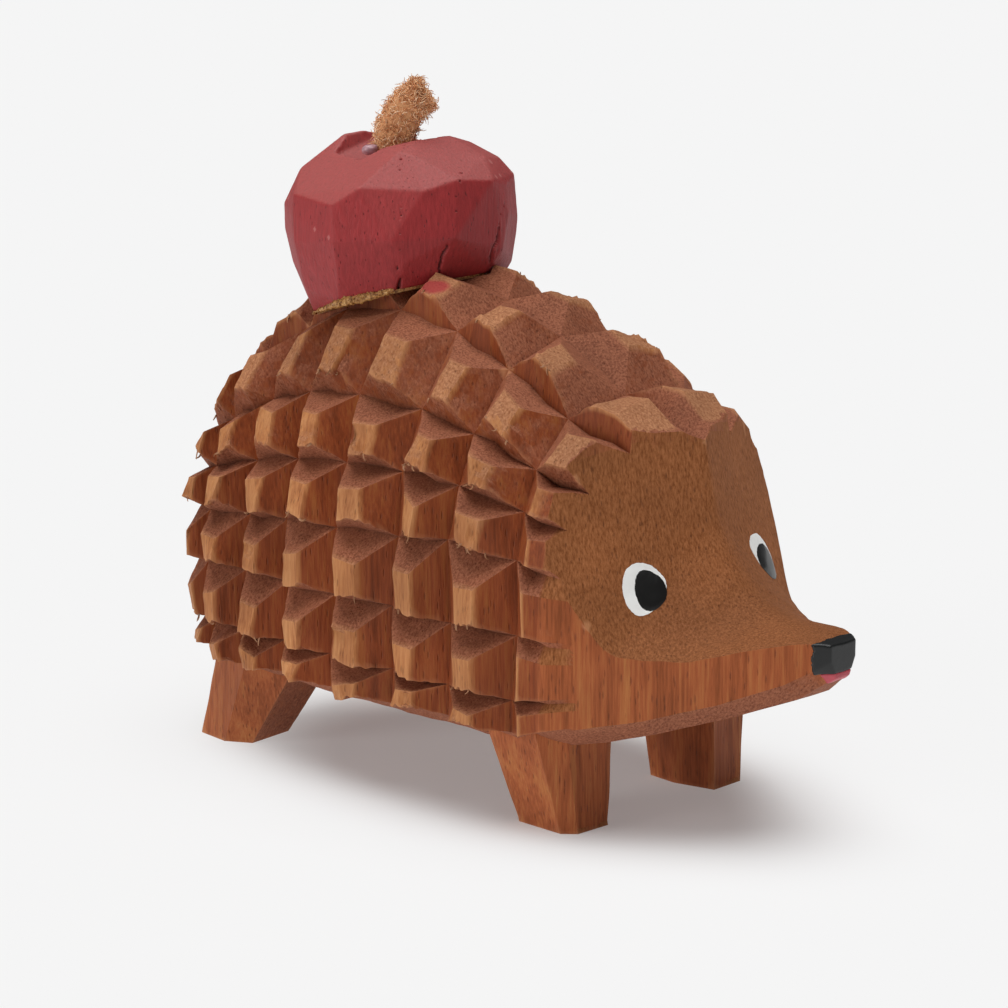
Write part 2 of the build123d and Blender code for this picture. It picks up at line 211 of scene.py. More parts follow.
def carried_mesh(name, loops):
    """A closed body: one closed loop of points carried through all its places, with flat ends."""
    count, ring = loops.shape[:2]
    ends = [np.arange(ring)[None, ::-1], (count - 1) * ring + np.arange(ring)[None]]
    return recalculated(make_mesh(name, loops, [grid_quads(count, ring, around=True)] + ends))


def read_points(mesh):
    """A mesh's points in millimetres."""
    points = np.empty(len(mesh.vertices) * 3)
    mesh.vertices.foreach_get("co", points)
    return points.reshape(-1, 3) / MM


def place_points(mesh, points):
    """Moves a mesh's points to places in millimetres."""
    mesh.vertices.foreach_set("co", (points * MM).ravel())


def shade_smooth(mesh, angle=None):
    """Shades a mesh smooth, but not over edges sharper than the angle in degrees."""
    mesh.polygons.foreach_set("use_smooth", np.ones(len(mesh.polygons), bool))
    if angle is not None:
        mesh.set_sharp_from_angle(angle=math.radians(angle))


def mark_points(mesh, name, values):
    """Stores one value for each point of a mesh, for its material to read."""
    mesh.attributes.new(name, "FLOAT", "POINT").data.foreach_set("value", np.asarray(values, np.float32))


def loose(name, mesh):
    """An object in the scene, on no body yet."""
    thing = bpy.data.objects.new(name, mesh)
    bpy.context.scene.collection.objects.link(thing)
    return thing


def add_piece(name, mesh, material, smooth_angle=None):
    """Puts a mesh into the scene as a piece on the root body."""
    piece = loose(name, mesh)
    mesh.materials.append(material)
    if smooth_angle is not None:
        shade_smooth(mesh, smooth_angle)
    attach(piece, "root")
    return piece


def finished(piece):
    """Gives a piece the mesh that its modifiers make, and returns that mesh."""
    bpy.context.view_layer.update()
    result = bpy.data.meshes.new_from_object(piece.evaluated_get(bpy.context.evaluated_depsgraph_get()))
    piece.modifiers.clear()
    old, piece.data = piece.data, result
    bpy.data.meshes.remove(old)
    return result


def boolean(piece, tools, operation):
    """Joins the tools to a piece or cuts them out of it, and removes them."""
    for tool in tools:
        modifier = piece.modifiers.new(operation, "BOOLEAN")
        modifier.operation = operation
        modifier.solver = "MANIFOLD"
        modifier.object = tool
        finished(piece)
        bpy.data.objects.remove(tool)


def remesh_soft(piece, voxel, factor, rounds):
    """Rebuilds a piece with even faces of a size in millimetres, and smooths off their steps."""
    remesh = piece.modifiers.new("even_faces", "REMESH")
    remesh.mode, remesh.voxel_size = "VOXEL", voxel * MM
    smooth = piece.modifiers.new("no_steps", "SMOOTH")
    smooth.factor, smooth.iterations = factor, rounds


# The carved block: sections from the rear to the nose, all in millimetres

HALF_LENGTH, CREST, HEAD_HALF_WIDTH = 55.0, 69.8, 24.45
# How far the viewer of the photograph stands round from the side
VIEW_TURN = math.radians(43.7)
RING_PLACES = HALF_LENGTH * np.array([-0.939, -0.832, -0.671, -0.507, -0.321, -0.105, 0.089, 0.309])
RING_WIDTHS = 23.0 * np.array([0.755, 0.915, 0.955, 0.985, 1.010, 1.000, 0.998, 1.000])
RING_CRESTS = CREST * np.array([0.745, 0.830, 0.935, 0.990, 1.005, 0.975, 0.915, 0.832])
RING_ROUNDNESS = np.array([2.3, 2.05, 1.90, 1.92, 1.95, 2.15, 2.4, 2.7])
# For each place on the head: half width, crest, wall's foot and belly, as shares
HEAD_TABLE = np.array([
    (0.375, 1.040, 0.788, 0.212, 0.172), (0.436, 1.000, 0.783, 0.224, 0.182),
    (0.508, 0.888, 0.757, 0.236, 0.194), (0.636, 0.690, 0.750, 0.258, 0.224),
    (0.784, 0.462, 0.740, 0.296, 0.263), (0.912, 0.264, 0.730, 0.340, 0.303),
    (0.960, 0.180, 0.722, 0.364, 0.331), (1.000, 0.108, 0.715, 0.388, 0.354),
])
WALL_FOOT, SHOULDER, BELLY, BELLY_CHAMFER = 13.8, 27.3, 11.8, 3.0
LOW_ROWS = np.array([0.0, 0.34, 1.0])
HIGH_ROWS = np.radians([13.5, 26.5, 41.0, 65.5, 90.0])
ROW_UNDER, ROW_OVER = 0.12, 0.40
ROWS = len(LOW_ROWS) + len(HIGH_ROWS)
# The relief that the ring widths and crests above belong to
TABLE_RELIEF = 3.5
# Cells between key sections and between key lines round them
RING_CELLS, HEAD_CELLS = [7, 11, 7], [7, 8, 8, 12, 12, 12, 6, 6]
ROW_CELLS, WALL_CELLS, BELLY_CELLS = [4, 7, 4], [2], [8]


def half_section(half_width, crest, roundness, foot, shoulder, tuck=0.0):
    """Bottoms of the row cuts on the right half of many sections: a straight wall from foot to shoulder,
    drawn in at its foot by the tuck, then a superellipse up to the crest."""
    low_z = foot[:, None] + LOW_ROWS * (shoulder - foot)[:, None]
    low_y = -half_width[:, None] * (1 - np.reshape(tuck, (-1, 1)) * (1 - LOW_ROWS))
    power = (2 / roundness)[:, None]
    high_y = -half_width[:, None] * np.clip(np.cos(HIGH_ROWS), 0, 1) ** power
    high_z = shoulder[:, None] + (crest - shoulder)[:, None] * np.sin(HIGH_ROWS) ** power
    return np.stack([np.concatenate([low_y, high_y], 1), np.concatenate([low_z, high_z], 1)], axis=-1)


def body_stations(sizes):
    """Key sections of the block: a cut's bottom and the two edges beside it for each ring, then the head.
    Each has the bottoms of its row cuts, its relief, the depth of its row cuts at the sides, how far up
    its flats begin, and the depth of the row cuts on top."""
    rows = []
    for index in range(len(RING_PLACES) - 1):
        start, end = RING_PLACES[index], RING_PLACES[index + 1]
        run = min(sizes.cut_run, (end - start) * 0.36)
        rows += [(start, 0.0, 1.0, 0.0)]
        rows += [(edge, sizes.relief, 1.0, 1.0) for edge in (start + run, end - run)]
    rows.append((RING_PLACES[-1], 0.0, 1.0, 0.0))
    body = np.array(rows)
    x = body[:, 0]
    one = np.ones(len(x))
    deeper = sizes.relief - TABLE_RELIEF
    ends = half_section(
        np.interp(x, RING_PLACES, RING_WIDTHS) - deeper, np.interp(x, RING_PLACES, RING_CRESTS) - deeper,
        np.interp(x, RING_PLACES, RING_ROUNDNESS), WALL_FOOT * one, SHOULDER * one,
        np.interp(x, RING_PLACES[:3], [0.16, 0.06, 0.0]),
    )
    head_x = HEAD_TABLE[:, 0] * HALF_LENGTH
    relief = np.array([sizes.relief, sizes.relief, 2.6] + [0.05] * (len(head_x) - 3))
    side_depth = np.array([0.85, 0.25] + [0.0] * (len(head_x) - 2))
    top_depth = np.array([1.0, 0.95, 0.9] + [0.0] * (len(head_x) - 3))
    foot = CREST * HEAD_TABLE[:, 3]
    head_ends = half_section(
        HEAD_HALF_WIDTH * HEAD_TABLE[:, 1] - relief, CREST * HEAD_TABLE[:, 2],
        np.full(len(head_x), RING_ROUNDNESS[-1]), foot, np.maximum(SHOULDER, foot + BELLY_CHAMFER),
    )
    head = np.stack([head_x, relief, side_depth, np.full(len(head_x), 0.7), top_depth], axis=1)
    table = np.concatenate([np.concatenate([body, body[:, 2:3]], axis=1), head])
    belly = np.concatenate([BELLY * one, CREST * HEAD_TABLE[:, 4]])
    return table, np.concatenate([ends, head_ends]), belly


def spread(cells):
    """Places between key lines, each line followed by its number of cells."""
    return np.repeat(np.arange(len(cells)), cells), np.concatenate([np.arange(n) / n for n in cells])


def key_corners(sizes):
    """The corners of all key sections, in order round each: belly, chamfer, then cut, flat, flat for every
    row. Every spine is a frustum, whose four walls run from the crossings of the cuts up to its own
    flat. A corner's fourth value is its height over the cuts, from 0 to 1."""
    random = np.random.default_rng(11)
    table, right_ends, belly = body_stations(sizes)
    count = len(table)
    ring_part = table[:, 0] < HEAD_TABLE[0, 0] * HALF_LENGTH + 0.1
    # Both halves, foot to crest to foot, with a far cheek narrower than the near one
    slimmer = 1 - 0.075 * np.clip((table[:, 0] - 6) / 14, 0, 1) ** 2
    left_ends = right_ends[:, -2::-1] * np.stack([-slimmer, np.ones(count)], axis=-1)[:, None]
    ends = np.concatenate([right_ends, left_ends], axis=1)
    places = np.repeat(table[:, :1], ends.shape[1], axis=1)
    ends = np.concatenate([places[..., None], ends], axis=-1)
    stray = random.normal(0, sizes.unevenness, ends.shape) * ring_part[:, None, None]
    stray[:, :, 0] *= (table[:, 1] == 0)[:, None] * 1.1
    ends += np.clip(stray, -2 * sizes.unevenness, 2 * sizes.unevenness)
    # Raised edges follow the cut that they stand beside
    for index in np.flatnonzero((table[:, 1] > 0) & ring_part):
        nearest = index - 1 if table[index - 1, 1] == 0 else index + 1
        ends[index, :, 0] = ends[nearest, :, 0] + table[index, 0] - table[nearest, 0]
    # A block's lower wall is steeper than its upper one, on either side
    upward = np.arange(ends.shape[1] - 1) < ROWS - 1
    under = np.where(upward, ROW_UNDER, ROW_OVER)[None, :, None]
    over = np.where(upward, ROW_OVER, ROW_UNDER)[None, :, None]
    relief, bevel = table[:, 1][:, None, None], table[:, 3][:, None, None]
    # Row lines of the top: the three nearest the crest on either side, and half of the next
    on_top = np.interp(np.abs(np.arange(ends.shape[1]) - (ROWS - 1)), [2, 4], [1, 0])[None, :]
    depth = (table[:, 2:3] * (1 - on_top) + table[:, 4:5] * on_top)[..., None]
    # The far edge of the face is plain
    depth[~ring_part, ROWS + 1:] *= 0.1
    low, high = ends[:, :-1], ends[:, 1:]
    span = high - low
    length = np.hypot(span[..., 1], span[..., 2])[..., None]
    outward = np.stack([np.zeros(span.shape[:2]), -span[..., 2], span[..., 1]], axis=-1) / length
    wobble = random.normal(0, sizes.unevenness, (2,) + span.shape)
    wobble = np.clip(wobble * ((table[:, 1] > 0) & ring_part)[:, None, None], -0.5, 0.5)
    first = low + span * bevel * under + outward * relief + wobble[0]
    second = low + span * (1 - bevel * over) + outward * relief + wobble[1]
    # Where a row cut fades out its bottom comes up to the flats
    middle = np.zeros_like(ends)
    middle[:, 1:-1] = ends[:, 2:] - ends[:, :-2]
    middle[:, 0], middle[:, -1] = span[:, 0], span[:, -1]
    rise = unit(np.stack([np.zeros(ends.shape[:2]), -middle[..., 2], middle[..., 1]], axis=-1))
    bottoms = ends + rise * relief * (1 - depth)
    low_corner = ends[:, 0].copy()
    low_corner[:, 1] = np.minimum(ends[:, 0, 1] + BELLY_CHAMFER, ends[:, 0, 1] / 2)
    low_corner[:, 2] = belly
    high_corner = ends[:, -1].copy()
    high_corner[:, 1] = -low_corner[:, 1]
    high_corner[:, 2] = belly
    row_points = np.stack([bottoms[:, :-1], first, second], axis=2).reshape(count, -1, 3)
    corners = [low_corner[:, None], row_points, bottoms[:, -1:], high_corner[:, None]]
    half_on_top = (on_top[:, :-1] + on_top[:, 1:]) / 2
    raised = (table[:, 1:2] > 0.1) * np.where(ring_part[:, None], 1.0, half_on_top)
    heights = np.stack([0 * raised, raised, raised], axis=2).reshape(count, -1)
    heights = np.pad(heights, ((0, 0), (1, 2)))
    return np.concatenate([np.concatenate(corners, axis=1), heights[..., None]], axis=-1)


def carved_grid(sizes):
    """Points of the whole block on one grid, on straight lines between its key corners. Returns points, how
    high each stands over the cuts, and which columns lie on the lower edge of a flat, where the fibres
    tear."""
    corners = key_corners(sizes)
    start, step = spread(RING_CELLS * (len(RING_PLACES) - 1) + HEAD_CELLS)
    start, step = np.append(start, len(corners) - 2), np.append(step, 1.0)[:, None, None]
    low_side = ROWS - 1
    column, part = spread(WALL_CELLS + ROW_CELLS * (2 * low_side) + WALL_CELLS + BELLY_CELLS)
    next_column = (column + 1) % corners.shape[1]
    along = corners[start] * (1 - step) + corners[start + 1] * step
    points = along[:, column] * (1 - part[:, None]) + along[:, next_column] * part[:, None]
    edge = np.zeros(corners.shape[1])
    edge[2:2 + 3 * low_side:3] = 1
    edge[3 + 3 * low_side:1 + 6 * low_side + 2:3] = 1
    return points[..., :3], points[..., 3], edge[column] * (1 - part) + edge[next_column] * part


def surface_normals(points):
    """Unit normals of a grid that closes round its columns, from the differences of its neighbours."""
    across = np.roll(points, -1, axis=1) - np.roll(points, 1, axis=1)
    along = np.gradient(points, axis=0)
    normal = np.cross(along, across)
    return normal / np.maximum(np.linalg.norm(normal, axis=-1, keepdims=True), 1e-9)


def carved_block(sizes):
    """The block with knife marks, furrows along the grain and frayed lower edges, closed at both ends."""
    points, lift, edge_line = carved_grid(sizes)
    normal = surface_normals(points)
    upright = 1 - np.abs(normal[..., 2])
    stretched = points * np.array([1, 1, 0.12])
    bump = layers(points, (0.10, 3.1, 1), (0.05, 1.2, 2))
    bump += upright * 0.10 * noise(stretched, 0.8, 3)
    body = np.clip((RING_PLACES[-1] + 5 - points[..., 0]) / 4, 0.25, 1)
    # Torn edges: bites up into the flat, by vertical fibres of uneven length
    tear = layers(points * np.array([1, 1, 0.05]), (0.6, 0.55, 5), (0.6, 1.7, 6))
    bite = np.clip(tear, -0.3, 1) * sizes.fray * edge_line * lift * body
    # Chips broken out of the flats
    pit = np.clip(noise(points * np.array([1, 1, 0.5]), 2.3, 7) - 0.45, 0, 1) * 1.6
    pit = pit * upright * body * np.clip(lift, 0, 1)
    points = points + normal * (bump * body - pit)[..., None]
    points[..., 2] += bite
    rows, columns = points.shape[:2]
    flat = points.reshape(-1, 3)
    rings = []
    faces = [grid_quads(rows, columns, around=True)[:, ::-1]]
    total = len(flat)
    for row, flip in ((0, True), (rows - 1, False)):
        edge = points[row]
        centre = edge.mean(axis=0)
        shares = np.linspace(0, 1, 9)[1:-1, None, None]
        inner = edge + (centre - edge) * shares
        rings += [inner.reshape(-1, 3), centre[None]]
        grid = grid_quads(inner.shape[0], columns, around=True) + total
        here, following = np.arange(columns), (np.arange(columns) + 1) % columns
        outer = row * columns
        first = np.stack([outer + here, outer + following, total + following, total + here], axis=-1)
        pole = total + inner.shape[0] * columns
        last = fan(total + (inner.shape[0] - 1) * columns, columns, pole)
        faces += [part if flip else part[:, ::-1] for part in (first, grid, last)]
        total = pole + 1
    # 0 off the spines, 0.2 at the bottom of their cuts and 1 on their flats
    high = np.clip((points[..., 2] - 45) / 5, 0, 1)
    carved = np.clip((HEAD_TABLE[1, 0] * HALF_LENGTH + 8 * high - points[..., 0]) / 2, 0, 1)
    heights = (0.2 + 0.8 * np.clip(lift, 0, 1)) * carved
    heights = np.append(heights.ravel(), np.zeros(sum(len(part) for part in rings)))
    return np.concatenate([flat] + rings), faces, heights


# The face's profile on the ridge in the middle and at its reach on either side, as
# shares of half the length ahead and of the crest height up
FACE_RIDGE = np.array([
    (0.523, 1.20), (0.556, 0.782), (0.579, 0.690), (0.603, 0.598), (0.646, 0.534),
    (0.704, 0.472), (0.784, 0.442), (0.881, 0.431), (0.983, 0.420), (1.055, 0.412),
]) * np.array([HALF_LENGTH, CREST])
FACE_SIDE = np.array([
    (0.310, 1.20), (0.345, 0.710), (0.405, 0.525), (0.545, 0.280), (0.640, 0.241),
    (0.732, 0.244), (0.815, 0.275), (0.914, 0.327), (0.983, 0.434), (1.055, 0.427),
]) * np.array([HALF_LENGTH, CREST])
FACE_REACH = 28.2


def along_table(table, places, window=np.zeros(1)):
    """Rows of a table at fractional places, each averaged over a window of places about it."""
    last = len(table) - 1
    taken = np.clip(places[..., None] + window, 0, last)
    numbers = np.arange(last + 1)
    return np.stack([np.interp(taken, numbers, column).mean(axis=-1) for column in table.T], axis=-1)


def face_points(line, across):
    """The carved face at a line number down its profile and a distance across, in millimetres. Each point
    is the blend of the ridge and of the outer line: ridge (1 - s) + side s, where s is
    (sqrt(y^2 + r^2) - r) / reach and r rounds the ridge more towards the snout. Both lines are averaged
    over a window, and shallow knife strokes lie on top."""
    line, across = np.broadcast_arrays(np.asarray(line, float), np.asarray(across, float))
    window = 0.28 * np.linspace(-1, 1, 9)
    ridge, side = (along_table(table, line, window) for table in (FACE_RIDGE, FACE_SIDE))
    softness = np.interp(line, [0, 2.7, 4.5, 6.3, 9], [0.25, 0.4, 1.6, 2.6, 2.0])
    share = (np.sqrt(across ** 2 + softness ** 2) - softness) / FACE_REACH
    profile = ridge * (1 - share[..., None]) + side * share[..., None]
    points = np.stack([profile[..., 0], across, profile[..., 1]], axis=-1)
    strokes = 0.13 * noise(points * np.array([1, 0.45, 0.8]), 4.6, 21) + 0.045 * noise(points, 1.7, 22)
    return points + strokes[..., None] * np.array([0.75, 0, 0.55])


def face_tool():
    """What the knife takes off in front of the face: a profile carried across from side to side."""
    lines, ys = np.linspace(0, len(FACE_RIDGE) - 1, 110), np.linspace(-FACE_REACH, FACE_REACH, 97)
    points = face_points(lines[:, None], ys[None, :])
    far = np.repeat(points[-1:], 2, axis=0)
    far[:, :, 0] = HALF_LENGTH + 40
    far[1, :, 2] = points[0, :, 2]
    loops = np.concatenate([points, far]).transpose(1, 0, 2)
    return carried_mesh("face_tool", loops)


def column_mesh(name, low, high, top, cells=22, seed=0, rough=0.09):
    """A leg or other upright block: each level is the straight blend of two polygons, with knife facets and
    furrows up the grain, closed at both ends."""
    share = np.linspace(0, 1, cells + 1)
    side_cells = 8
    part = np.arange(side_cells) / side_cells

    def ring(corners):
        following = np.roll(corners, -1, axis=0)
        mixed = corners[:, None] * (1 - part[:, None]) + following[:, None] * part[:, None]
        return mixed.reshape(-1, 2)

    low_ring, high_ring = ring(low), ring(high)
    flat = low_ring[None] * (1 - share[:, None, None]) + high_ring[None] * share[:, None, None]
    centre = flat.mean(axis=1, keepdims=True)
    z = np.broadcast_to((top * share)[:, None], flat.shape[:2])
    points = np.concatenate([flat, z[..., None]], axis=-1)
    normal = surface_normals(points)
    outwards = np.sign(((points[..., :2] - centre) * normal[..., :2]).sum(-1).mean())
    marks = noise(points * np.array([1, 1, 0.5]), 2.4, seed + 31) * rough
    marks += noise(points * np.array([1, 1, 0.1]), 0.7, seed + 32) * rough * 0.7
    inside = np.ones(len(share))
    inside[0] = 0
    points = points + normal * (outwards * marks * inside[:, None])[..., None]
    count = points.shape[1]
    poles = np.stack([points[0].mean(axis=0), points[-1].mean(axis=0)])
    points = np.concatenate([points.reshape(-1, 3), poles])
    return recalculated(make_mesh(name, points, tube_faces(len(share), count)))


# How high the legs reach into the belly, and corners of the right legs' soles and
# tops, as shares of half the length and of the half width
LEG_TOP, LEG_HALF_WIDTH = 14.75, 26.5
FRONT_SOLE = [
    (0.255, -0.69), (0.400, -0.70), (0.432, -0.64), (0.435, -0.42), (0.320, -0.37), (0.231, -0.39),
]
FRONT_TOP = [
    (0.191, -0.81), (0.365, -0.82), (0.416, -0.70), (0.437, -0.40), (0.320, -0.33), (0.199, -0.35),
]
REAR_SOLE = [
    (-0.905, -0.73), (-0.798, -0.76), (-0.729, -0.68), (-0.745, -0.38), (-0.826, -0.36), (-0.908, -0.39),
]
REAR_TOP = [
    (-0.831, -0.72), (-0.683, -0.79), (-0.550, -0.66), (-0.550, -0.34), (-0.683, -0.32), (-0.816, -0.35),
]


def leg_tools():
    """Four legs, faceted, from their soles into the belly."""
    tools = []
    for number, (sole, top) in enumerate(((FRONT_SOLE, FRONT_TOP), (REAR_SOLE, REAR_TOP))):
        for side in (1, -1):
            scale = np.array([HALF_LENGTH, LEG_HALF_WIDTH * side])
            low, high = np.array(sole) * scale, np.array(top) * scale
            mesh = column_mesh("leg_tool", low, high, LEG_TOP, seed=number * 2 + side)
            tools.append(loose("leg_tool", mesh))
    return tools


SEAT_BACK, SEAT_HEIGHT, SEAT_TILT = 26.2, 65.9, math.radians(17.0)
SEAT_NORMAL = np.array([-math.sin(SEAT_TILT), 0, math.cos(SEAT_TILT)])
SEAT_ORIGIN = np.array([-SEAT_BACK, 0, SEAT_HEIGHT])


def seat_tool():
    """What is cut away over the apple's seat: the foot's outline, a little wider, carried up along the
    seat's normal."""
    foot = apple_foot() - SEAT_ORIGIN
    flat = foot - np.outer(foot @ SEAT_NORMAL, SEAT_NORMAL)
    flat *= 1 + 0.8 / np.linalg.norm(flat, axis=1, keepdims=True)
    corners = SEAT_ORIGIN + np.concatenate([flat, flat + 12.0 * SEAT_NORMAL])
    return loose("seat_tool", hull_mesh("seat_tool", corners, merge=1))


def rear_spine_tools(sizes):
    """Spines on the rear: frustums in rows, each a square carried back and drawn in."""
    random = np.random.default_rng(5)
    cap = RING_PLACES[0]
    pitch, gap, sunk, height = 9.9, 0.5, 0.6, HALF_LENGTH + RING_PLACES[0]
    tools = []
    for row, spines in ((-0.5, 3), (0.5, 3), (1.5, 1)):
        for index in range(spines):
            centre = np.array([(index - (spines - 1) / 2) * pitch, SHOULDER + row * pitch])
            half = (pitch - gap) / 2
            square = np.array([(-1, -1), (1, -1), (1, 1), (-1, 1)], float)
            shrink = 1 - height * math.tan(math.radians(42.0)) / half
            low = centre + square * half + random.normal(0, 0.12, (4, 2))
            high = centre + square * half * shrink + random.normal(0, 0.35, (4, 2))
            mesh = column_mesh("rear_tool", low, high, height + sunk, cells=10, seed=index, rough=0.06)
            points = read_points(mesh)
            place_points(mesh, np.stack([cap + sunk - points[:, 2], points[:, 0], points[:, 1]], axis=-1))
            tools.append(loose("rear_tool", recalculated(mesh)))
    return tools


# Finishes

def grain_texture(tree, kind, place, scale, **values):
    """A texture stretched along the grain. Along each axis a spot is a metre over the scale wide."""
    space = add_node(tree, "Mapping", {"Vector": place, "Scale": scale})
    return add_node(tree, kind, {"Vector": space, "Scale": 1.0, **values})


def laid_over(tree, colour, coats):
    """A colour with coats laid over it in order, each with the share that it covers and its hex colour."""
    for share, code in coats:
        colour = add_node(tree, "Mix", {0: share, 6: colour, 7: linear(code)}, data_type="RGBA")
    return colour


def scaled_colour(tree, colour, share):
    """A colour made lighter or darker by a share."""
    return add_node(tree, "VectorMath", {0: colour, "Scale": share}, operation="SCALE")


# The smear of red paint on the spine in front of the apple: its middle, its
# half length, width and height in metres, and its turn to the viewer's right
SMEAR_PLACE, SMEAR_SIZE, SMEAR_TURN = (-0.0120, -0.0062, 0.0696), (0.0032, 0.0030, 0.0013), 0.763


def stained_wood(colour):
    """Close-grained timber, knife-cut and stained with a thin red-brown stain. The grain stands upright:
    walls show streaks and short pores, and facets that look up or down show end grain, which drank more
    stain and dried duller."""
    material, tree, shader = new_material("stained_wood")
    place = add_node(tree, "TexCoord").outputs["Object"]
    surface = add_node(tree, "NewGeometry").outputs
    facing = add_node(tree, "SeparateXYZ", {0: surface["True Normal"]}).outputs["Z"]
    tilt = add_node(tree, "Math", {0: facing}, operation="ABSOLUTE")
    ragged = add_node(tree, "TexNoise", {"Vector": place, "Scale": 900.0, "Detail": 2.0})
    wander = add_node(tree, "Math", {0: ragged, 1: 0.36, 2: -0.18}, operation="MULTIPLY_ADD")
    lean = add_node(tree, "Math", {0: tilt, 1: wander}, operation="ADD")
    level = add_node(tree, "MapRange", {0: lean, 1: 0.30, 2: 0.62}, interpolation_type="SMOOTHSTEP")
    # The face's slanting cut crosses the grain too, though it is steep
    spot = add_node(tree, "SeparateXYZ", {0: place})
    ahead = add_node(tree, "MapRange", {0: spot.outputs["X"], 1: 0.0213, 2: 0.0222})
    slant = add_node(tree, "MapRange", {0: facing, 1: 0.05, 2: 0.11})
    cut_face = add_node(tree, "Math", {0: ahead, 1: slant}, operation="MULTIPLY")
    height = add_node(tree, "Attribute", attribute_name="height_on_cut").outputs["Fac"]
    smooth = add_node(tree, "MapRange", {0: height, 1: 0.05, 2: 0.15, 3: 1.0, 4: 0.0})
    face = add_node(tree, "Math", {0: cut_face, 1: smooth}, operation="MULTIPLY")
    end_grain = add_node(tree, "Math", {0: level, 1: face}, operation="MAXIMUM")

    # Fibres about 0.35 mm across and 6 mm long, and bands of growth 2 to 4 mm apart
    fibres = grain_texture(tree, "TexNoise", place, (2900.0, 2900.0, 150.0), Detail=4.0, Roughness=0.62)
    bands = grain_texture(tree, "TexNoise", place, (420.0, 620.0, 22.0), Detail=3.0, Distortion=0.4)
    # Pores 0.15 mm across and about 1.2 mm long, in about half of the cells
    pores = grain_texture(tree, "TexVoronoi", place, (2100.0, 2100.0, 420.0), Randomness=1.0)
    pore = add_node(tree, "MapRange", {0: pores.outputs["Distance"], 1: 0.12, 2: 0.30, 3: 1.0, 4: 0.0})
    chance = add_node(tree, "SeparateColor", {0: pores.outputs["Color"]})
    picked = add_node(tree, "MapRange", {0: chance, 1: 0.45, 2: 0.55})
    pore_mask = add_node(tree, "Math", {0: pore, 1: picked}, operation="MULTIPLY")
    patch = add_node(tree, "TexNoise", {"Vector": place, "Scale": 75.0, "Detail": 2.0})

    # Long grain: dark furrow, middle stain, light worn fibre
    streak = add_node(tree, "Math", {0: fibres, 1: bands}, operation="ADD")
    dark = add_node(tree, "MapRange", {0: streak, 1: 0.72, 2: 1.02})
    light = add_node(tree, "MapRange", {0: streak, 1: 1.0, 2: 1.35})
    wall = laid_over(tree, linear("854420"), ((dark, colour), (light, "b87440")))
    flat = laid_over(tree, linear("9a5c33"), ((dark, "b67646"), (light, "cb8f5c")))
    # Walls of the carved cuts drawn darker than the uncut head: stain soaked in, and painted shade; less
    # stain on the flats
    cut_stain_and_shade = add_node(tree, "VectorMath", {0: wall, 1: (0.68, 0.56, 0.46)}, operation="MULTIPLY")
    in_cut = add_node(tree, "MapRange", {0: height, 1: 0.08, 2: 0.18})
    on_flat = add_node(tree, "MapRange", {0: height, 1: 0.88, 2: 0.99})
    walls = add_node(tree, "Mix", {0: in_cut, 6: wall, 7: cut_stain_and_shade}, data_type="RGBA")
    long_grain = add_node(tree, "Mix", {0: on_flat, 6: walls, 7: flat}, data_type="RGBA")
    # End grain: mauve brown with darker and lighter specks
    specks = grain_texture(tree, "TexNoise", place, (3300.0, 3300.0, 900.0), Detail=3.0, Roughness=0.7)
    speck = add_node(tree, "MapRange", {0: specks, 1: 0.32, 2: 0.68})
    low = laid_over(tree, linear("743d28"), ((on_flat, "8d5535"), (face, "7c451f")))
    high = laid_over(tree, linear("ad6d4f"), ((on_flat, "c08861"), (face, "ad6d42")))
    cut_grain = add_node(tree, "Mix", {0: speck, 6: low, 7: high}, data_type="RGBA")
    wood = add_node(tree, "Mix", {0: end_grain, 6: long_grain, 7: cut_grain}, data_type="RGBA")
    pored = add_node(tree, "Math", {0: pore_mask, 1: 0.38}, operation="MULTIPLY")
    dotted = laid_over(tree, wood, ((pored, "4c2413"),))
    # Painted shade: the flatter the face's cut, the darker it is drawn
    cloudy = add_node(tree, "MapRange", {0: patch, 1: 0.3, 2: 0.7, 3: 0.88, 4: 1.1})
    face_shade_by_tilt = add_node(tree, "MapRange", {0: facing, 1: 0.30, 2: 0.85, 3: 1.0, 4: 0.80})
    shade_on_face = add_node(tree, "Mix", {0: face, 2: 1.0, 3: face_shade_by_tilt})
    tones = add_node(tree, "Math", {0: cloudy, 1: shade_on_face}, operation="MULTIPLY")
    # Edges lighter, partly rubbed wear and partly painted highlight; creases darker, pooled stain and painted
    # shade; and the smear of red
    pale_edges = add_node(tree, "MapRange", {0: surface["Pointiness"], 1: 0.53, 2: 0.60, 3: 0.0, 4: 0.55})
    crease_stain_and_shade = add_node(tree, "MapRange", {0: surface["Pointiness"], 1: 0.38, 2: 0.48, 3: 0.6, 4: 0.0})
    shifted = add_node(tree, "Mix", {0: 0.0012, 4: place, 5: patch.outputs["Color"]}, data_type="VECTOR")
    where = {
        "Vector": shifted, "Location": SMEAR_PLACE, "Rotation": (0.0, 0.0, SMEAR_TURN), "Scale": SMEAR_SIZE
    }
    strip = add_node(tree, "Mapping", where, vector_type="TEXTURE")
    away = add_node(tree, "VectorMath", {0: strip}, operation="LENGTH")
    smear = add_node(tree, "MapRange", {0: away, 1: 0.9, 2: 1.1, 3: 0.85, 4: 0.0})
    marks = ((pale_edges, "c98d62"), (crease_stain_and_shade, "4a2517"), (smear, "a8363a"))
    rough = add_node(tree, "MapRange", {0: end_grain, 3: 0.56, 4: 0.78})
    depth = add_node(tree, "Math", {0: fibres, 1: pore_mask}, operation="SUBTRACT")
    bump = add_node(tree, "Bump", {"Height": depth, "Strength": 0.55, "Distance": 0.00016})
    finish = laid_over(tree, scaled_colour(tree, dotted, tones), marks)
    feed(tree, shader, {"Base Color": finish, "Roughness": rough})
    feed(tree, shader, {"Specular IOR Level": 0.22, "Normal": bump})
    return material


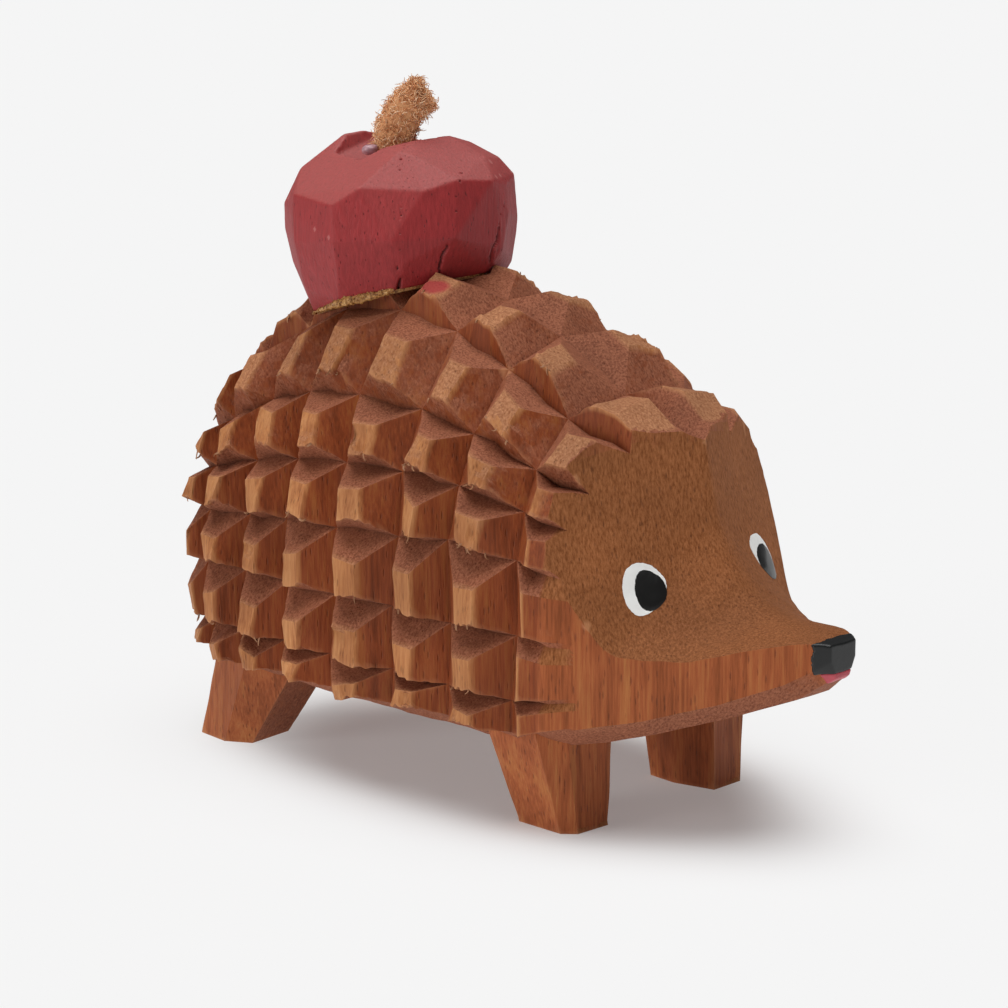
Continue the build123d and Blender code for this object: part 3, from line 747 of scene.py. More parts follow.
def plain_finish(name, code, roughness, grain=900.0, spread=0.12, depth=0.00005):
    """A thin even coat: one colour with slight mottling and a fine texture."""
    material, tree, shader = new_material(name)
    place = add_node(tree, "TexCoord").outputs["Object"]
    mottle = add_node(tree, "TexNoise", {"Vector": place, "Scale": grain, "Detail": 3.0})
    tone = add_node(tree, "MapRange", {0: mottle, 1: 0.3, 2: 0.7, 3: 1 - spread, 4: 1 + spread / 2})
    bump = add_node(tree, "Bump", {"Height": mottle, "Strength": 0.5, "Distance": depth})
    coat = scaled_colour(tree, linear(code)[:3], tone)
    feed(tree, shader, {"Base Color": coat, "Roughness": roughness, "Normal": bump})
    return material


def apple_paint(colour):
    """Thin red paint brushed over knife-cut wood: the grain and pores show through, and it is rubbed pale
    along its edges."""
    material, tree, shader = new_material("apple_paint")
    place = add_node(tree, "TexCoord").outputs["Object"]
    surface = add_node(tree, "NewGeometry").outputs
    # Brush and grain lines 0.4 mm apart, pores 0.15 mm across
    fibres = grain_texture(tree, "TexNoise", place, (2300.0, 2300.0, 200.0), Detail=4.0, Roughness=0.6)
    tone = add_node(tree, "MapRange", {0: fibres, 1: 0.28, 2: 0.72, 3: 0.80, 4: 1.14})
    pores = grain_texture(tree, "TexVoronoi", place, (1900.0, 1900.0, 420.0))
    pore = add_node(tree, "MapRange", {0: pores.outputs["Distance"], 1: 0.07, 2: 0.17, 3: 0.7, 4: 0.0})
    # Paler and pinker where facets face up, a painted sheen; and paint rubbed off the edges
    facing = add_node(tree, "SeparateXYZ", {0: surface["True Normal"]}).outputs["Z"]
    upward = add_node(tree, "MapRange", {0: facing, 1: 0.25, 2: 0.75, 3: 0.0, 4: 0.22})
    pale_edges = add_node(tree, "MapRange", {0: surface["Pointiness"], 1: 0.53, 2: 0.60, 3: 0.0, 4: 0.4})
    crack = add_node(tree, "Attribute", attribute_name="crack").outputs["Fac"]
    # Painted shade: the cracks' lines are drawn near black
    crack_shade = add_node(tree, "MapRange", {0: crack, 1: 0.1, 2: 0.6, 3: 0.0, 4: 0.85})
    marks = ((pore, "4a1214"), (upward, "cf9088"), (pale_edges, "cf8a84"), (crack_shade, "3a0f10"))
    depth = add_node(tree, "Math", {0: fibres, 1: pore}, operation="SUBTRACT")
    bump = add_node(tree, "Bump", {"Height": depth, "Strength": 0.7, "Distance": 0.00018})
    coat = laid_over(tree, scaled_colour(tree, linear(colour)[:3], tone), marks)
    feed(tree, shader, {"Base Color": coat, "Specular IOR Level": 0.28, "Roughness": 0.52, "Normal": bump})
    return material


# Pieces

class HEDGEHOG_OT_carved_body(bpy.types.Operator):
    """Carve the hedgehog's block with its spines, face and legs"""
    bl_idname = "hedgehog.carved_body"
    bl_label = "Carved body"

    def execute(self, context):
        sizes = context.scene.hedgehog_body
        points, faces, heights = carved_block(sizes)
        mesh = recalculated(make_mesh("carved_hedgehog", points, faces))
        mark_points(mesh, "height_on_cut", heights)
        piece = add_piece("carved_hedgehog", mesh, stained_wood(context.scene.hedgehog_finish.stain))
        boolean(piece, [loose("face_tool", face_tool()), seat_tool()], "DIFFERENCE")
        boolean(piece, leg_tools() + rear_spine_tools(sizes), "UNION")
        shade_smooth(piece.data, 24)
        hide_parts("carved_body")
        return {"FINISHED"}


# The apple: corners of its knife facets, as shares of half its width to the
# right and towards the viewer of the photograph, and of its height.
APPLE_RADIUS, APPLE_HEIGHT, DIMPLE_DEPTH, GLUE_FILM = 16.7, 23.1, 4.4, 0.3
APPLE_RIM = (
    (-0.62, -0.03, 0.87), (-0.38, 0.30, 0.85), (-0.14, 0.32, 0.94), (0.11, 0.28, 0.99),
    (0.40, 0.04, 1.00), (0.57, -0.12, 0.95), (0.43, -0.36, 0.92), (0.10, -0.44, 0.92),
    (-0.19, -0.44, 0.97), (-0.36, -0.33, 1.00), (-0.51, -0.22, 0.99),
)
APPLE_SHOULDER = (
    (-0.88, -0.09, 0.79), (-0.92, 0.27, 0.66), (-0.74, 0.51, 0.63), (-0.59, 0.68, 0.63),
    (-0.35, 0.71, 0.74), (-0.02, 0.49, 0.94), (0.13, 0.54, 0.91), (0.20, 0.79, 0.73),
    (0.47, 0.71, 0.79), (0.71, 0.29, 0.89), (0.77, 0.52, 0.77), (0.82, 0.06, 0.87), (0.87, 0.30, 0.72),
    (0.95, 0.00, 0.76), (0.73, -0.54, 0.79), (0.28, -0.80, 0.76), (-0.20, -0.81, 0.78),
    (-0.66, -0.58, 0.79),
)
APPLE_SIDES = (
    (-1.02, 0.00, 0.58), (-1.02, -0.04, 0.42), (-0.93, 0.29, 0.53), (-0.92, 0.31, 0.37),
    (-0.57, 0.76, 0.42), (-0.08, 0.90, 0.43), (0.05, 0.86, 0.31), (0.46, 0.83, 0.45),
    (0.90, 0.31, 0.55), (0.85, 0.40, 0.33), (0.98, 0.04, 0.50), (0.97, 0.01, 0.40), (0.85, -0.48, 0.44),
    (0.43, -0.85, 0.43), (-0.11, -0.95, 0.42), (-0.62, -0.77, 0.44), (-0.93, -0.39, 0.44),
    (-0.95, 0.04, 0.22), (-0.84, 0.22, 0.08), (-0.54, 0.70, 0.22), (0.81, 0.36, 0.26),
    (0.93, 0.04, 0.22),
)
APPLE_FOOT = (
    (-0.77, 0.04), (-0.53, 0.59), (-0.06, 0.77), (0.29, 0.73), (0.70, 0.44), (0.88, 0.05),
    (0.81, -0.35), (0.55, -0.67), (0.08, -0.80), (-0.39, -0.69), (-0.69, -0.38),
)


# Cracks along the grain, each as the distance to the viewer's right and the
# height of its lower and upper ends, and its half width, in millimetres
CRACK_DEPTH = 0.6
APPLE_CRACKS = (
    (-0.4, 66.0, -0.3, 70.8, 0.34), (5.3, 70.8, 6.5, 75.8, 0.20), (12.6, 71.5, 13.6, 77.0, 0.17)
)


def viewer_axes():
    """Right and towards the viewer, level with the floor."""
    level = np.array([math.cos(VIEW_TURN), math.sin(VIEW_TURN), 0])
    return level, np.array([level[1], -level[0], 0])


def in_apple(shares):
    """Facet corners given as shares to the right, towards the viewer and up, in millimetres over the seat."""
    right, near = viewer_axes()
    shares = np.asarray(shares, float)
    level = APPLE_RADIUS * (shares[:, :1] * right + shares[:, 1:2] * near)
    return SEAT_ORIGIN + level + APPLE_HEIGHT * shares[:, 2:] * np.array([0, 0, 1])


def hull_mesh(name, corners, merge=4):
    """The convex hull of some corners, its nearly flat neighbours merged into facets."""
    work = bmesh.new()
    for point in np.asarray(corners) * MM:
        work.verts.new(point)
    bmesh.ops.convex_hull(work, input=work.verts)
    bmesh.ops.delete(work, geom=[v for v in work.verts if not v.link_faces], context="VERTS")
    bmesh.ops.dissolve_limit(work, angle_limit=math.radians(merge), verts=work.verts, edges=work.edges)
    bmesh.ops.recalc_face_normals(work, faces=work.faces)
    mesh = bpy.data.meshes.new(name)
    work.to_mesh(mesh)
    work.free()
    return mesh


def apple_foot():
    """Corners of the apple's foot, set straight up onto the film of glue on the seat."""
    foot = in_apple([(x, w, 0) for x, w in APPLE_FOOT])
    drop = ((foot - SEAT_ORIGIN) @ SEAT_NORMAL - GLUE_FILM) / SEAT_NORMAL[2]
    return foot - drop[:, None] * np.array([0, 0, 1])


def apple_mesh():
    """The apple's outside as the hull of its facet corners."""
    corners = [in_apple(APPLE_RIM + APPLE_SHOULDER + APPLE_SIDES), apple_foot()]
    return hull_mesh("red_apple", np.concatenate(corners))


def dimple_tool():
    """What the knife takes out of the top: a faceted bowl from inside the rim to a small uneven floor."""
    rim = np.array(APPLE_RIM)
    edge = in_apple(rim * np.array([0.93, 0.93, 1.0]))
    floor = rim * np.array([0.3, 0.3, 0.0]) + np.array([0, 0, 1 - DIMPLE_DEPTH / APPLE_HEIGHT])
    corners = [edge, edge + np.array([0, 0, 9.0]), in_apple(floor)]
    return loose("dimple_tool", hull_mesh("dimple_tool", np.concatenate(corners), merge=1))


class HEDGEHOG_OT_apple(bpy.types.Operator):
    """Carve the red apple with its dimple"""
    bl_idname = "hedgehog.apple"
    bl_label = "Apple"

    def execute(self, context):
        piece = add_piece("red_apple", apple_mesh(), apple_paint(context.scene.hedgehog_finish.paint))
        boolean(piece, [dimple_tool()], "DIFFERENCE")
        bevel = piece.modifiers.new("soft_edges", "BEVEL")
        bevel.width, bevel.segments, bevel.limit_method = 0.4 * MM, 3, "ANGLE"
        bevel.angle_limit = math.radians(4)
        remesh_soft(piece, 0.26, 0.5, 4)
        result = finished(piece)
        shade_smooth(result)
        points = read_points(result)
        # 1 on a crack's line, falling to 0 at its half width
        right, near = viewer_axes()
        aside = (points - SEAT_ORIGIN) @ right + 0.3 * noise(points * np.array([0, 0, 1]), 1.6, 33)
        front = (points - SEAT_ORIGIN) @ near > 4
        crack = np.zeros(len(points))
        for low_aside, low, high_aside, high, half in APPLE_CRACKS:
            share = (points[:, 2] - low) / (high - low)
            away = np.abs(aside - low_aside - (high_aside - low_aside) * share)
            narrow = half * np.clip(np.minimum(share + 0.1, 1 - share) * 4, 0, 1)
            crack = np.maximum(crack, front * np.clip(1 - away / np.maximum(narrow, 0.01), 0, 1))
        middle = SEAT_ORIGIN + np.array([0, 0, 12.0])
        place_points(result, points + unit(middle - points) * (CRACK_DEPTH * crack)[:, None])
        mark_points(result, "crack", crack)
        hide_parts("apple")
        return {"FINISHED"}


# Paint on the head. An eye's coats are ellipses on the face: their middle, the
# vector to their outer end and the vector to their top, each as line number and
# distance across in millimetres.
EYE_COATS = (
    ("eye_white_right", "white_paint", (2.87, -12.2), (0.27, 2.75), (-0.29, 1.05), 0.10),
    ("pupil_right", "black_paint", (2.95, -11.62), (0.25, 2.03), (-0.27, 0.77), 0.42),
    ("eye_white_left", "white_paint", (2.83, 12.15), (-0.159, 3.33), (0.278, 0.98), 0.10),
    ("pupil_left", "black_paint", (2.88, 12.6), (-0.116, 3.0), (0.278, 0.0), 0.36),
)


def coat_mesh(name, middle, outer, top, thickness, seed):
    """A coat of paint on the face: rings of an ellipse laid on its surface, swollen outwards by t (1 - r^3)
    + 0.05 mm and sunk 0.3 mm behind, with a wavering outline."""
    rings, count = 24, 132
    radius = np.linspace(0, 1, rings + 1)[1:, None]
    angle = np.arange(count) / count * 2 * math.pi
    circle = np.stack([np.cos(angle), np.sin(angle), np.full(count, seed * 0.37)], axis=-1)
    outline = 1 + 0.014 * noise(circle, 0.42, seed) + 0.018 * noise(circle, 0.12, seed + 1)
    reach = radius * outline
    line = middle[0] + reach * (outer[0] * circle[:, 0] + top[0] * circle[:, 1])
    across = middle[1] + reach * (outer[1] * circle[:, 0] + top[1] * circle[:, 1])
    line, across = np.append(line.ravel(), middle[0]), np.append(across.ravel(), middle[1])
    base = face_points(line, across)
    down = face_points(line + 0.06, across) - face_points(line - 0.06, across)
    aside = face_points(line, across + 0.4) - face_points(line, across - 0.4)
    normal = unit(np.cross(down, aside))
    swell = 0.05 + thickness * (1 - np.append(np.repeat(radius, count), 0) ** 3)
    front, back = base + normal * swell[:, None], base - normal * 0.3
    back = back[:-1].reshape(rings, count, 3)[::-1].reshape(-1, 3), back[-1:]
    points = np.concatenate([front[:-1], back[0], front[-1:], back[1]])
    return recalculated(make_mesh(name, points, tube_faces(2 * rings, count)))


def tip_region(back, low, high, seed):
    """The space ahead of an uneven brush edge and between two heights, as a tool for the paint on the tip
    of the snout."""
    heights, ys = np.linspace(low, high, 30), np.linspace(-9, 9, 60)
    wall = np.stack(np.broadcast_arrays(back, ys[:, None], heights[None, :]), axis=-1).astype(float)
    wall[..., 0] += layers(wall, (0.22, 1.5, seed), (0.10, 0.5, seed + 1))
    far_edge = np.broadcast_arrays(HALF_LENGTH + 6, ys[:, None], np.array([high, low])[None, :])
    front = np.stack(far_edge, axis=-1).astype(float)
    edge = 0.16 * noise(np.stack([ys, 0 * ys, 0 * ys + seed], axis=-1), 1.3, seed)
    wall[:, 0, 2] += edge
    front[:, 1, 2] += edge
    loops = np.concatenate([wall, front], axis=1)
    return loose("tip_region", carried_mesh("tip_region", loops))


class HEDGEHOG_OT_eyes(bpy.types.Operator):
    """Lay the white and black paint of both eyes on the face"""
    bl_idname = "hedgehog.eyes"
    bl_label = "Eyes"

    def execute(self, context):
        # Acrylic paint: a flat, even white, and a thick black that dried with a soft shine
        white = plain_finish("eye_white_paint", "fbfbf8", 0.5, spread=0.04)
        black = plain_finish("pupil_black_paint", "161514", 0.33, depth=0.00003)
        for number, (node, slot, middle, outer, top, thickness) in enumerate(EYE_COATS):
            mesh = coat_mesh(node + "_coat", middle, outer, top, thickness, 60 + number)
            paint = white if slot == "white_paint" else black
            piece = add_piece(node + "_coat", mesh, paint, smooth_angle=40)
            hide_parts(node)
        return {"FINISHED"}


class HEDGEHOG_OT_snout_paint(bpy.types.Operator):
    """Paint the tip of the snout black and the mouth red"""
    bl_idname = "hedgehog.snout_paint"
    bl_label = "Nose and mouth"

    def execute(self, context):
        body = context.scene.objects.get("carved_hedgehog")
        if body is None:
            raise RuntimeError("carve the body before its snout is painted")
        # Acrylic paint brushed over end grain: a black that keeps its grain, and a dull pinkish red
        black = plain_finish("nose_black_paint", "0c0d0d", 0.42, grain=700.0, depth=0.00008)
        red = plain_finish("mouth_red_paint", "bf4a55", 0.5)
        coats = (
            ("nose_paint", "black_paint", tip_region(53.2, 25.4, 34.0, 70), black),
            ("mouth_paint", "red_paint", tip_region(53.9, 20.0, 25.3, 74), red),
        )
        for node, slot, region, finish in coats:
            tip = body.data.copy()
            tip.materials.clear()
            piece = add_piece(node + "_coat", tip, finish)
            boolean(piece, [region], "INTERSECT")
            remesh_soft(piece, 0.12, 0.6, 5)
            coat = piece.modifiers.new("coat", "DISPLACE")
            coat.strength, coat.mid_level = 0.17 * MM, 0.0
            result = finished(piece)
            result.materials.clear()
            result.materials.append(finish)
            shade_smooth(result)
            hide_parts(node)
        return {"FINISHED"}


# The stem: middle line and half width in the plane that faces the viewer, as
# distances to the right and up from the seat, in millimetres.
STEM_LINE = np.array([
    (-1.40, 17.5, 2.35), (-1.40, 19.5, 2.35), (-1.38, 21.4, 2.45), (-1.20, 23.3, 2.65), (-0.35, 25.2, 2.6),
    (0.85, 27.1, 2.7), (2.15, 28.3, 2.6), (3.00, 28.95, 2.4), (3.60, 29.3, 1.9),
])
STEM_NEAR, STEM_HALF_THICKNESS = 1.0, 1.8
# Tone of the leather under its fibres, from 0 for dark to 1 for pale
CORE_TONE = 0.35


def stem_surface(share, angle, swell=0.0):
    """The suede strip at a share of its length and an angle round it: the middle line plus w cos(a) across
    and t sin(a) towards the viewer, with soft lumps. Returns points and outward directions."""
    right, near = viewer_axes()
    share, angle = np.broadcast_arrays(np.asarray(share, float), np.asarray(angle, float))
    last = len(STEM_LINE) - 1
    line = along_table(STEM_LINE, share * last, 0.5 * np.linspace(-1, 1, 7))
    ahead, behind = (np.clip(share + way, 0, 1) * last for way in (0.02, -0.02))
    course = unit(along_table(STEM_LINE[:, :2], ahead) - along_table(STEM_LINE[:, :2], behind))
    up = np.array([0, 0, 1])
    across = course[..., 1:] * right - course[..., :1] * up
    corner = 1 / np.maximum(np.abs(np.cos(angle)), np.abs(np.sin(angle))) ** 0.45
    wide = (line[..., 2] + swell) * np.cos(angle) * corner
    thick = (STEM_HALF_THICKNESS + swell) * np.sin(angle) * corner
    middle = SEAT_ORIGIN + line[..., :1] * right + line[..., 1:2] * up + STEM_NEAR * near
    points = middle + wide[..., None] * across + thick[..., None] * near
    outward = np.cos(angle)[..., None] * across + np.sin(angle)[..., None] * near
    return points + outward * layers(points, (0.22, 1.1, 81), (0.10, 0.4, 82))[..., None], outward


def curl_parts(roots, outward, length, radius, seed, spread=0.7, bends=(1.2, 4.6), sides=3, steps=5):
    """Many short curls at once. From its root each follows p(s) = root + L/b (sin(bs) f + (1 - cos(bs)) g),
    a circle in its own plane, as a closed tube of three sides that thins to its end. Returns points,
    face arrays and a value for each curl."""
    random = np.random.default_rng(seed)
    count = len(roots)
    forward = unit(outward + random.normal(0, spread, (count, 3)))
    aside = unit(np.cross(forward, random.normal(0, 1, (count, 3))))
    bend = random.uniform(*bends, count)[:, None]
    reach = (length * random.uniform(0.55, 1.3, count))[:, None]
    angle = bend * np.linspace(0, 1, steps)
    turn, swing = np.sin(angle)[..., None], np.cos(angle)[..., None]
    forward, aside = forward[:, None], aside[:, None]
    middle = roots[:, None] + (reach / bend)[..., None] * (turn * forward + (1 - swing) * aside)
    sideways = swing * aside - turn * forward
    level = np.broadcast_to(np.cross(forward, aside), sideways.shape)
    around = np.arange(sides) / sides * 2 * math.pi
    thin = radius * random.uniform(0.7, 1.3, (count, 1)) * np.linspace(1, 0.45, steps)
    ring = np.cos(around)[:, None] * sideways[:, :, None] + np.sin(around)[:, None] * level[:, :, None]
    points = middle[:, :, None] + thin[..., None, None] * ring
    starts = (np.arange(count) * steps * sides)[:, None, None]
    walls = (grid_quads(steps, sides, around=True)[None] + starts).reshape(-1, 4)
    ends = np.array([np.arange(sides)[::-1], (steps - 1) * sides + np.arange(sides)])
    caps = (ends[None] + starts).reshape(-1, sides)
    return points.reshape(-1, 3), [walls, caps], np.repeat(random.uniform(0, 1, count), steps * sides)


def suede():
    """Light tan leather with its flesh side out: matt curled fibres, each of its own tone from dark honey
    to pale straw."""
    material, tree, shader = new_material("tan_suede")
    place = add_node(tree, "TexCoord").outputs["Object"]
    tone = add_node(tree, "Attribute", attribute_name="strand").outputs["Fac"]
    patch = add_node(tree, "TexNoise", {"Vector": place, "Scale": 1100.0, "Detail": 3.0})
    mixed = add_node(tree, "Math", {0: patch, 1: 0.5, 2: tone}, operation="MULTIPLY_ADD")
    low = add_node(tree, "MapRange", {0: mixed, 1: 0.2, 2: 0.75})
    high = add_node(tree, "MapRange", {0: mixed, 1: 0.75, 2: 1.3})
    tones = laid_over(tree, linear("be8156"), ((low, "e6ad7c"), (high, "f9ddbb")))
    feed(tree, shader, {"Base Color": tones, "Specular IOR Level": 0.2, "Roughness": 0.85})
    return material


class HEDGEHOG_OT_stem(bpy.types.Operator):
    """Stand the suede stem in the apple, with its loose fibres"""
    bl_idname = "hedgehog.stem"
    bl_label = "Stem"

    def execute(self, context):
        sizes = context.scene.hedgehog_apple
        random = np.random.default_rng(7)
        rows, count = 90, 64
        share = np.linspace(0, 1, rows)[:, None]
        core, _ = stem_surface(share, np.arange(count) / count * 2 * math.pi)
        poles = np.stack([core[0].mean(axis=0), core[-1].mean(axis=0)])
        core = np.concatenate([core.reshape(-1, 3), poles])
        # Fibres all over, but few along the cut edge on the right and on the cut end
        where = random.uniform(0.12, 1.0, sizes.fibres)
        turn = random.uniform(-math.pi, math.pi, sizes.fibres)
        bare = (np.abs(turn - 0.25) < 0.5) & (where > 0.5) & (random.uniform(0, 1, sizes.fibres) < 0.9)
        where, turn = where[~bare], turn[~bare]
        roots, outward = stem_surface(where, turn, swell=-0.08)
        curls, curl_faces, tones = curl_parts(roots, outward, 1.3, 0.078, 8, spread=1.0)
        faces = tube_faces(rows, count) + [part + len(core) for part in curl_faces]
        mesh = make_mesh("suede_stem", np.concatenate([core, curls]), faces)
        mark_points(mesh, "strand", np.append(np.full(len(core), CORE_TONE), tones))
        piece = add_piece("suede_stem", recalculated(mesh), suede(), smooth_angle=60)
        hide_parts("apple_stem")
        return {"FINISHED"}


def sawdust_glue():
    """Dried wood glue full of sawdust: honey brown, grainy and slightly shiny."""
    material, tree, shader = new_material("sawdust_glue")
    place = add_node(tree, "TexCoord").outputs["Object"]
    grain = add_node(tree, "TexNoise", {"Vector": place, "Scale": 1900.0, "Detail": 3.0, "Roughness": 0.7})
    low = add_node(tree, "MapRange", {0: grain, 1: 0.36, 2: 0.52})
    high = add_node(tree, "MapRange", {0: grain, 1: 0.52, 2: 0.68})
    tones = laid_over(tree, linear("7a4a22"), ((low, "b88446"), (high, "e3b577")))
    bump = add_node(tree, "Bump", {"Height": grain, "Strength": 0.8, "Distance": 0.0002})
    feed(tree, shader, {"Base Color": tones, "Roughness": 0.45, "Normal": bump})
    return material


def glue_bead(foot, rows, count):
    """The bead along the front left of the foot: circles c(s) + r(s) (cos(a) o(s) + sin(a) n), where c runs
    along the foot, o points out of it and n is the seat's normal, with lumps. Returns its points with
    two poles, and c, o and r."""
    share = np.linspace(0, 1, rows)
    course = np.stack([np.interp(share, [0, 0.42, 1], foot[:3, axis]) for axis in range(3)], axis=-1)
    outward = course - SEAT_ORIGIN
    outward = unit(outward - (outward @ SEAT_NORMAL)[:, None] * SEAT_NORMAL)
    size = np.interp(share, [0, 0.15, 0.45, 0.75, 0.93, 1], [0.20, 0.30, 0.48, 0.62, 0.38, 0.12])
    size = size * (1 + 0.45 * noise(course, 1.3, 91) + 0.25 * noise(course, 0.5, 92))
    angle = np.arange(count) / count * 2 * math.pi
    ring = np.cos(angle)[None, :, None] * outward[:, None] + np.sin(angle)[None, :, None] * SEAT_NORMAL
    bead = (course + 0.1 * outward)[:, None] + ring * size[:, None, None]
    bead += ring * (0.16 * noise(bead, 0.45, 93))[..., None]
    points = np.concatenate([bead.reshape(-1, 3), bead[:1].mean(axis=1), bead[-1:].mean(axis=1)])
    return points, course, outward, size


def sawdust_grains(course, outward, size, count):
    """Grains stuck in the bead's skin: squashed octahedra. Returns their points and faces."""
    random = np.random.default_rng(9)
    spots = random.integers(0, len(course), count)
    way = random.uniform(-0.6, 2.6, count)[:, None]
    away = np.cos(way) * outward[spots] + np.sin(way) * SEAT_NORMAL
    middle = course[spots] + away * (size[spots] * random.uniform(0.85, 1.25, count))[:, None]
    corners = np.array([(1, 0, 0), (0, 1, 0), (-1, 0, 0), (0, -1, 0), (0, 0, 1), (0, 0, -1)], float)
    corners = corners + random.normal(0, 0.25, (count, 6, 3))
    grains = middle[:, None] + corners * random.uniform(0.08, 0.24, (count, 1, 1))
    upper = [(0, 1, 4), (1, 2, 4), (2, 3, 4), (3, 0, 4)]
    lower = [(1, 0, 5), (2, 1, 5), (3, 2, 5), (0, 3, 5)]
    sides = np.array(upper + lower)
    return grains.reshape(-1, 3), (sides[None] + 6 * np.arange(count)[:, None, None]).reshape(-1, 3)


def milky_dab(rows, count):
    """The dab at the foot of the stem: an ellipsoid m + r (1.15 x right + 1.2 y near + 0.8 z up), leaned a
    little, where x, y and z lie on a ball and r varies smoothly over it."""
    right, near = viewer_axes()
    tall = np.linspace(0, math.pi, rows + 2)[1:-1, None]
    wide = np.linspace(0, 2 * math.pi, count + 1)[None, :-1]
    parts = np.broadcast_arrays(np.sin(tall) * np.cos(wide), np.sin(tall) * np.sin(wide), np.cos(tall))
    ball = np.concatenate([np.stack(parts, axis=-1).reshape(-1, 3), [(0, 0, 1), (0, 0, -1)]])
    ball *= (1 + 0.22 * noise(ball, 0.7, 95))[:, None]
    middle = SEAT_ORIGIN - 4.5 * right + 2.3 * near + np.array([0, 0, 21.3])
    leaned = ball[:, 2:] * np.array([0.25, 0, 0.8])
    return middle + ball[:, :1] * 1.15 * right + ball[:, 1:2] * 1.2 * near + leaned


class HEDGEHOG_OT_glue(bpy.types.Operator):
    """Add the glue under the apple and the dab at the foot of the stem"""
    bl_idname = "hedgehog.glue"
    bl_label = "Glue"

    def execute(self, context):
        foot = apple_foot()
        bead, course, outward, size = glue_bead(foot, 170, 18)
        grains, sides = sawdust_grains(course, outward, size, context.scene.hedgehog_apple.crumbs)
        # The film itself, a little inside the foot
        inner = SEAT_ORIGIN + (foot - SEAT_ORIGIN) * 0.97
        film = np.concatenate([inner - 0.35 * SEAT_NORMAL, inner + 0.1 * SEAT_NORMAL])
        start, edge = len(bead) + len(grains), np.arange(len(foot))
        faces = tube_faces(170, 18) + [sides + len(bead), grid_quads(2, len(foot), around=True) + start]
        faces += [edge[None, ::-1] + start, edge[None] + start + len(foot)]
        mesh = recalculated(make_mesh("squeezed_glue", np.concatenate([bead, grains, film]), faces))
        piece = add_piece("squeezed_glue", mesh, sawdust_glue(), smooth_angle=50)
        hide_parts("apple_glue")
        # Clear glue that dried milky over the red paint
        milky = plain_finish("clear_glue", "bd9299", 0.25)
        mesh = recalculated(make_mesh("stem_dab", milky_dab(24, 48), tube_faces(24, 48)))
        piece = add_piece("stem_dab", mesh, milky, smooth_angle=60)
        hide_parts("stem_glue")
        return {"FINISHED"}


class HEDGEHOG_OT_splinters(bpy.types.Operator):
    """Leave torn slivers of wood at the lower edges of the spines"""
    bl_idname = "hedgehog.splinters"
    bl_label = "Splinters"

    def execute(self, context):
        sizes = context.scene.hedgehog_body
        random = np.random.default_rng(13)
        points, lift, edge_line = carved_grid(sizes)
        torn = (edge_line > 0.95) & (lift > 0.6)
        behind_head = (points[..., 0] < RING_PLACES[-1]) & (points[..., 2] > 19)
        rows, columns = np.nonzero(torn & behind_head)
        picked = random.integers(0, len(rows), sizes.splinters)
        roots = points[rows[picked], columns[picked]]
        side = np.sign(roots[:, 1])[:, None] * np.array([0, 1.0, 0])
        roots, down = roots - 0.12 * side, 0.5 * side + np.array([0.25, 0, -1.0])
        tufts, faces, tones = curl_parts(roots, down, 1.1, 0.17, 14, spread=0.45, bends=(0.4, 2.4))
        mesh = make_mesh("torn_fibres", tufts, faces)
        mark_points(mesh, "height_on_cut", np.where(tones > 0.5, 1.0, 0.5))
        wood = bpy.data.materials.get("stained_wood")
        if wood is None:
            raise RuntimeError("carve the body before its splinters")
        piece = add_piece("torn_fibres", recalculated(mesh), wood)
        return {"FINISHED"}


# The camera's tilt and distance, the point it looks at, as a distance along X and
# then to its right and up, and its lens for a picture 36 mm wide
CAMERA_TILT, CAMERA_DISTANCE, CAMERA_TARGET = math.radians(12.65), 512.9, (1.431, -5.587, 38.51)
CAMERA_LENS = 3599.5 / 1008 * 36.0
# The floor's reach from the middle in millimetres, and the colour of floor and backdrop
FLOOR_REACH, PALE_GREY = 6000, "f5f5f5"
# A wide softbox overhead and a weak low one on the viewer's left: direction, width in degrees, strength
LAMPS = (("overhead", (0.04, -0.02, 1.0), 60, 2.72), ("low_left", (-0.35, -0.93, 0.10), 34, 1.35))


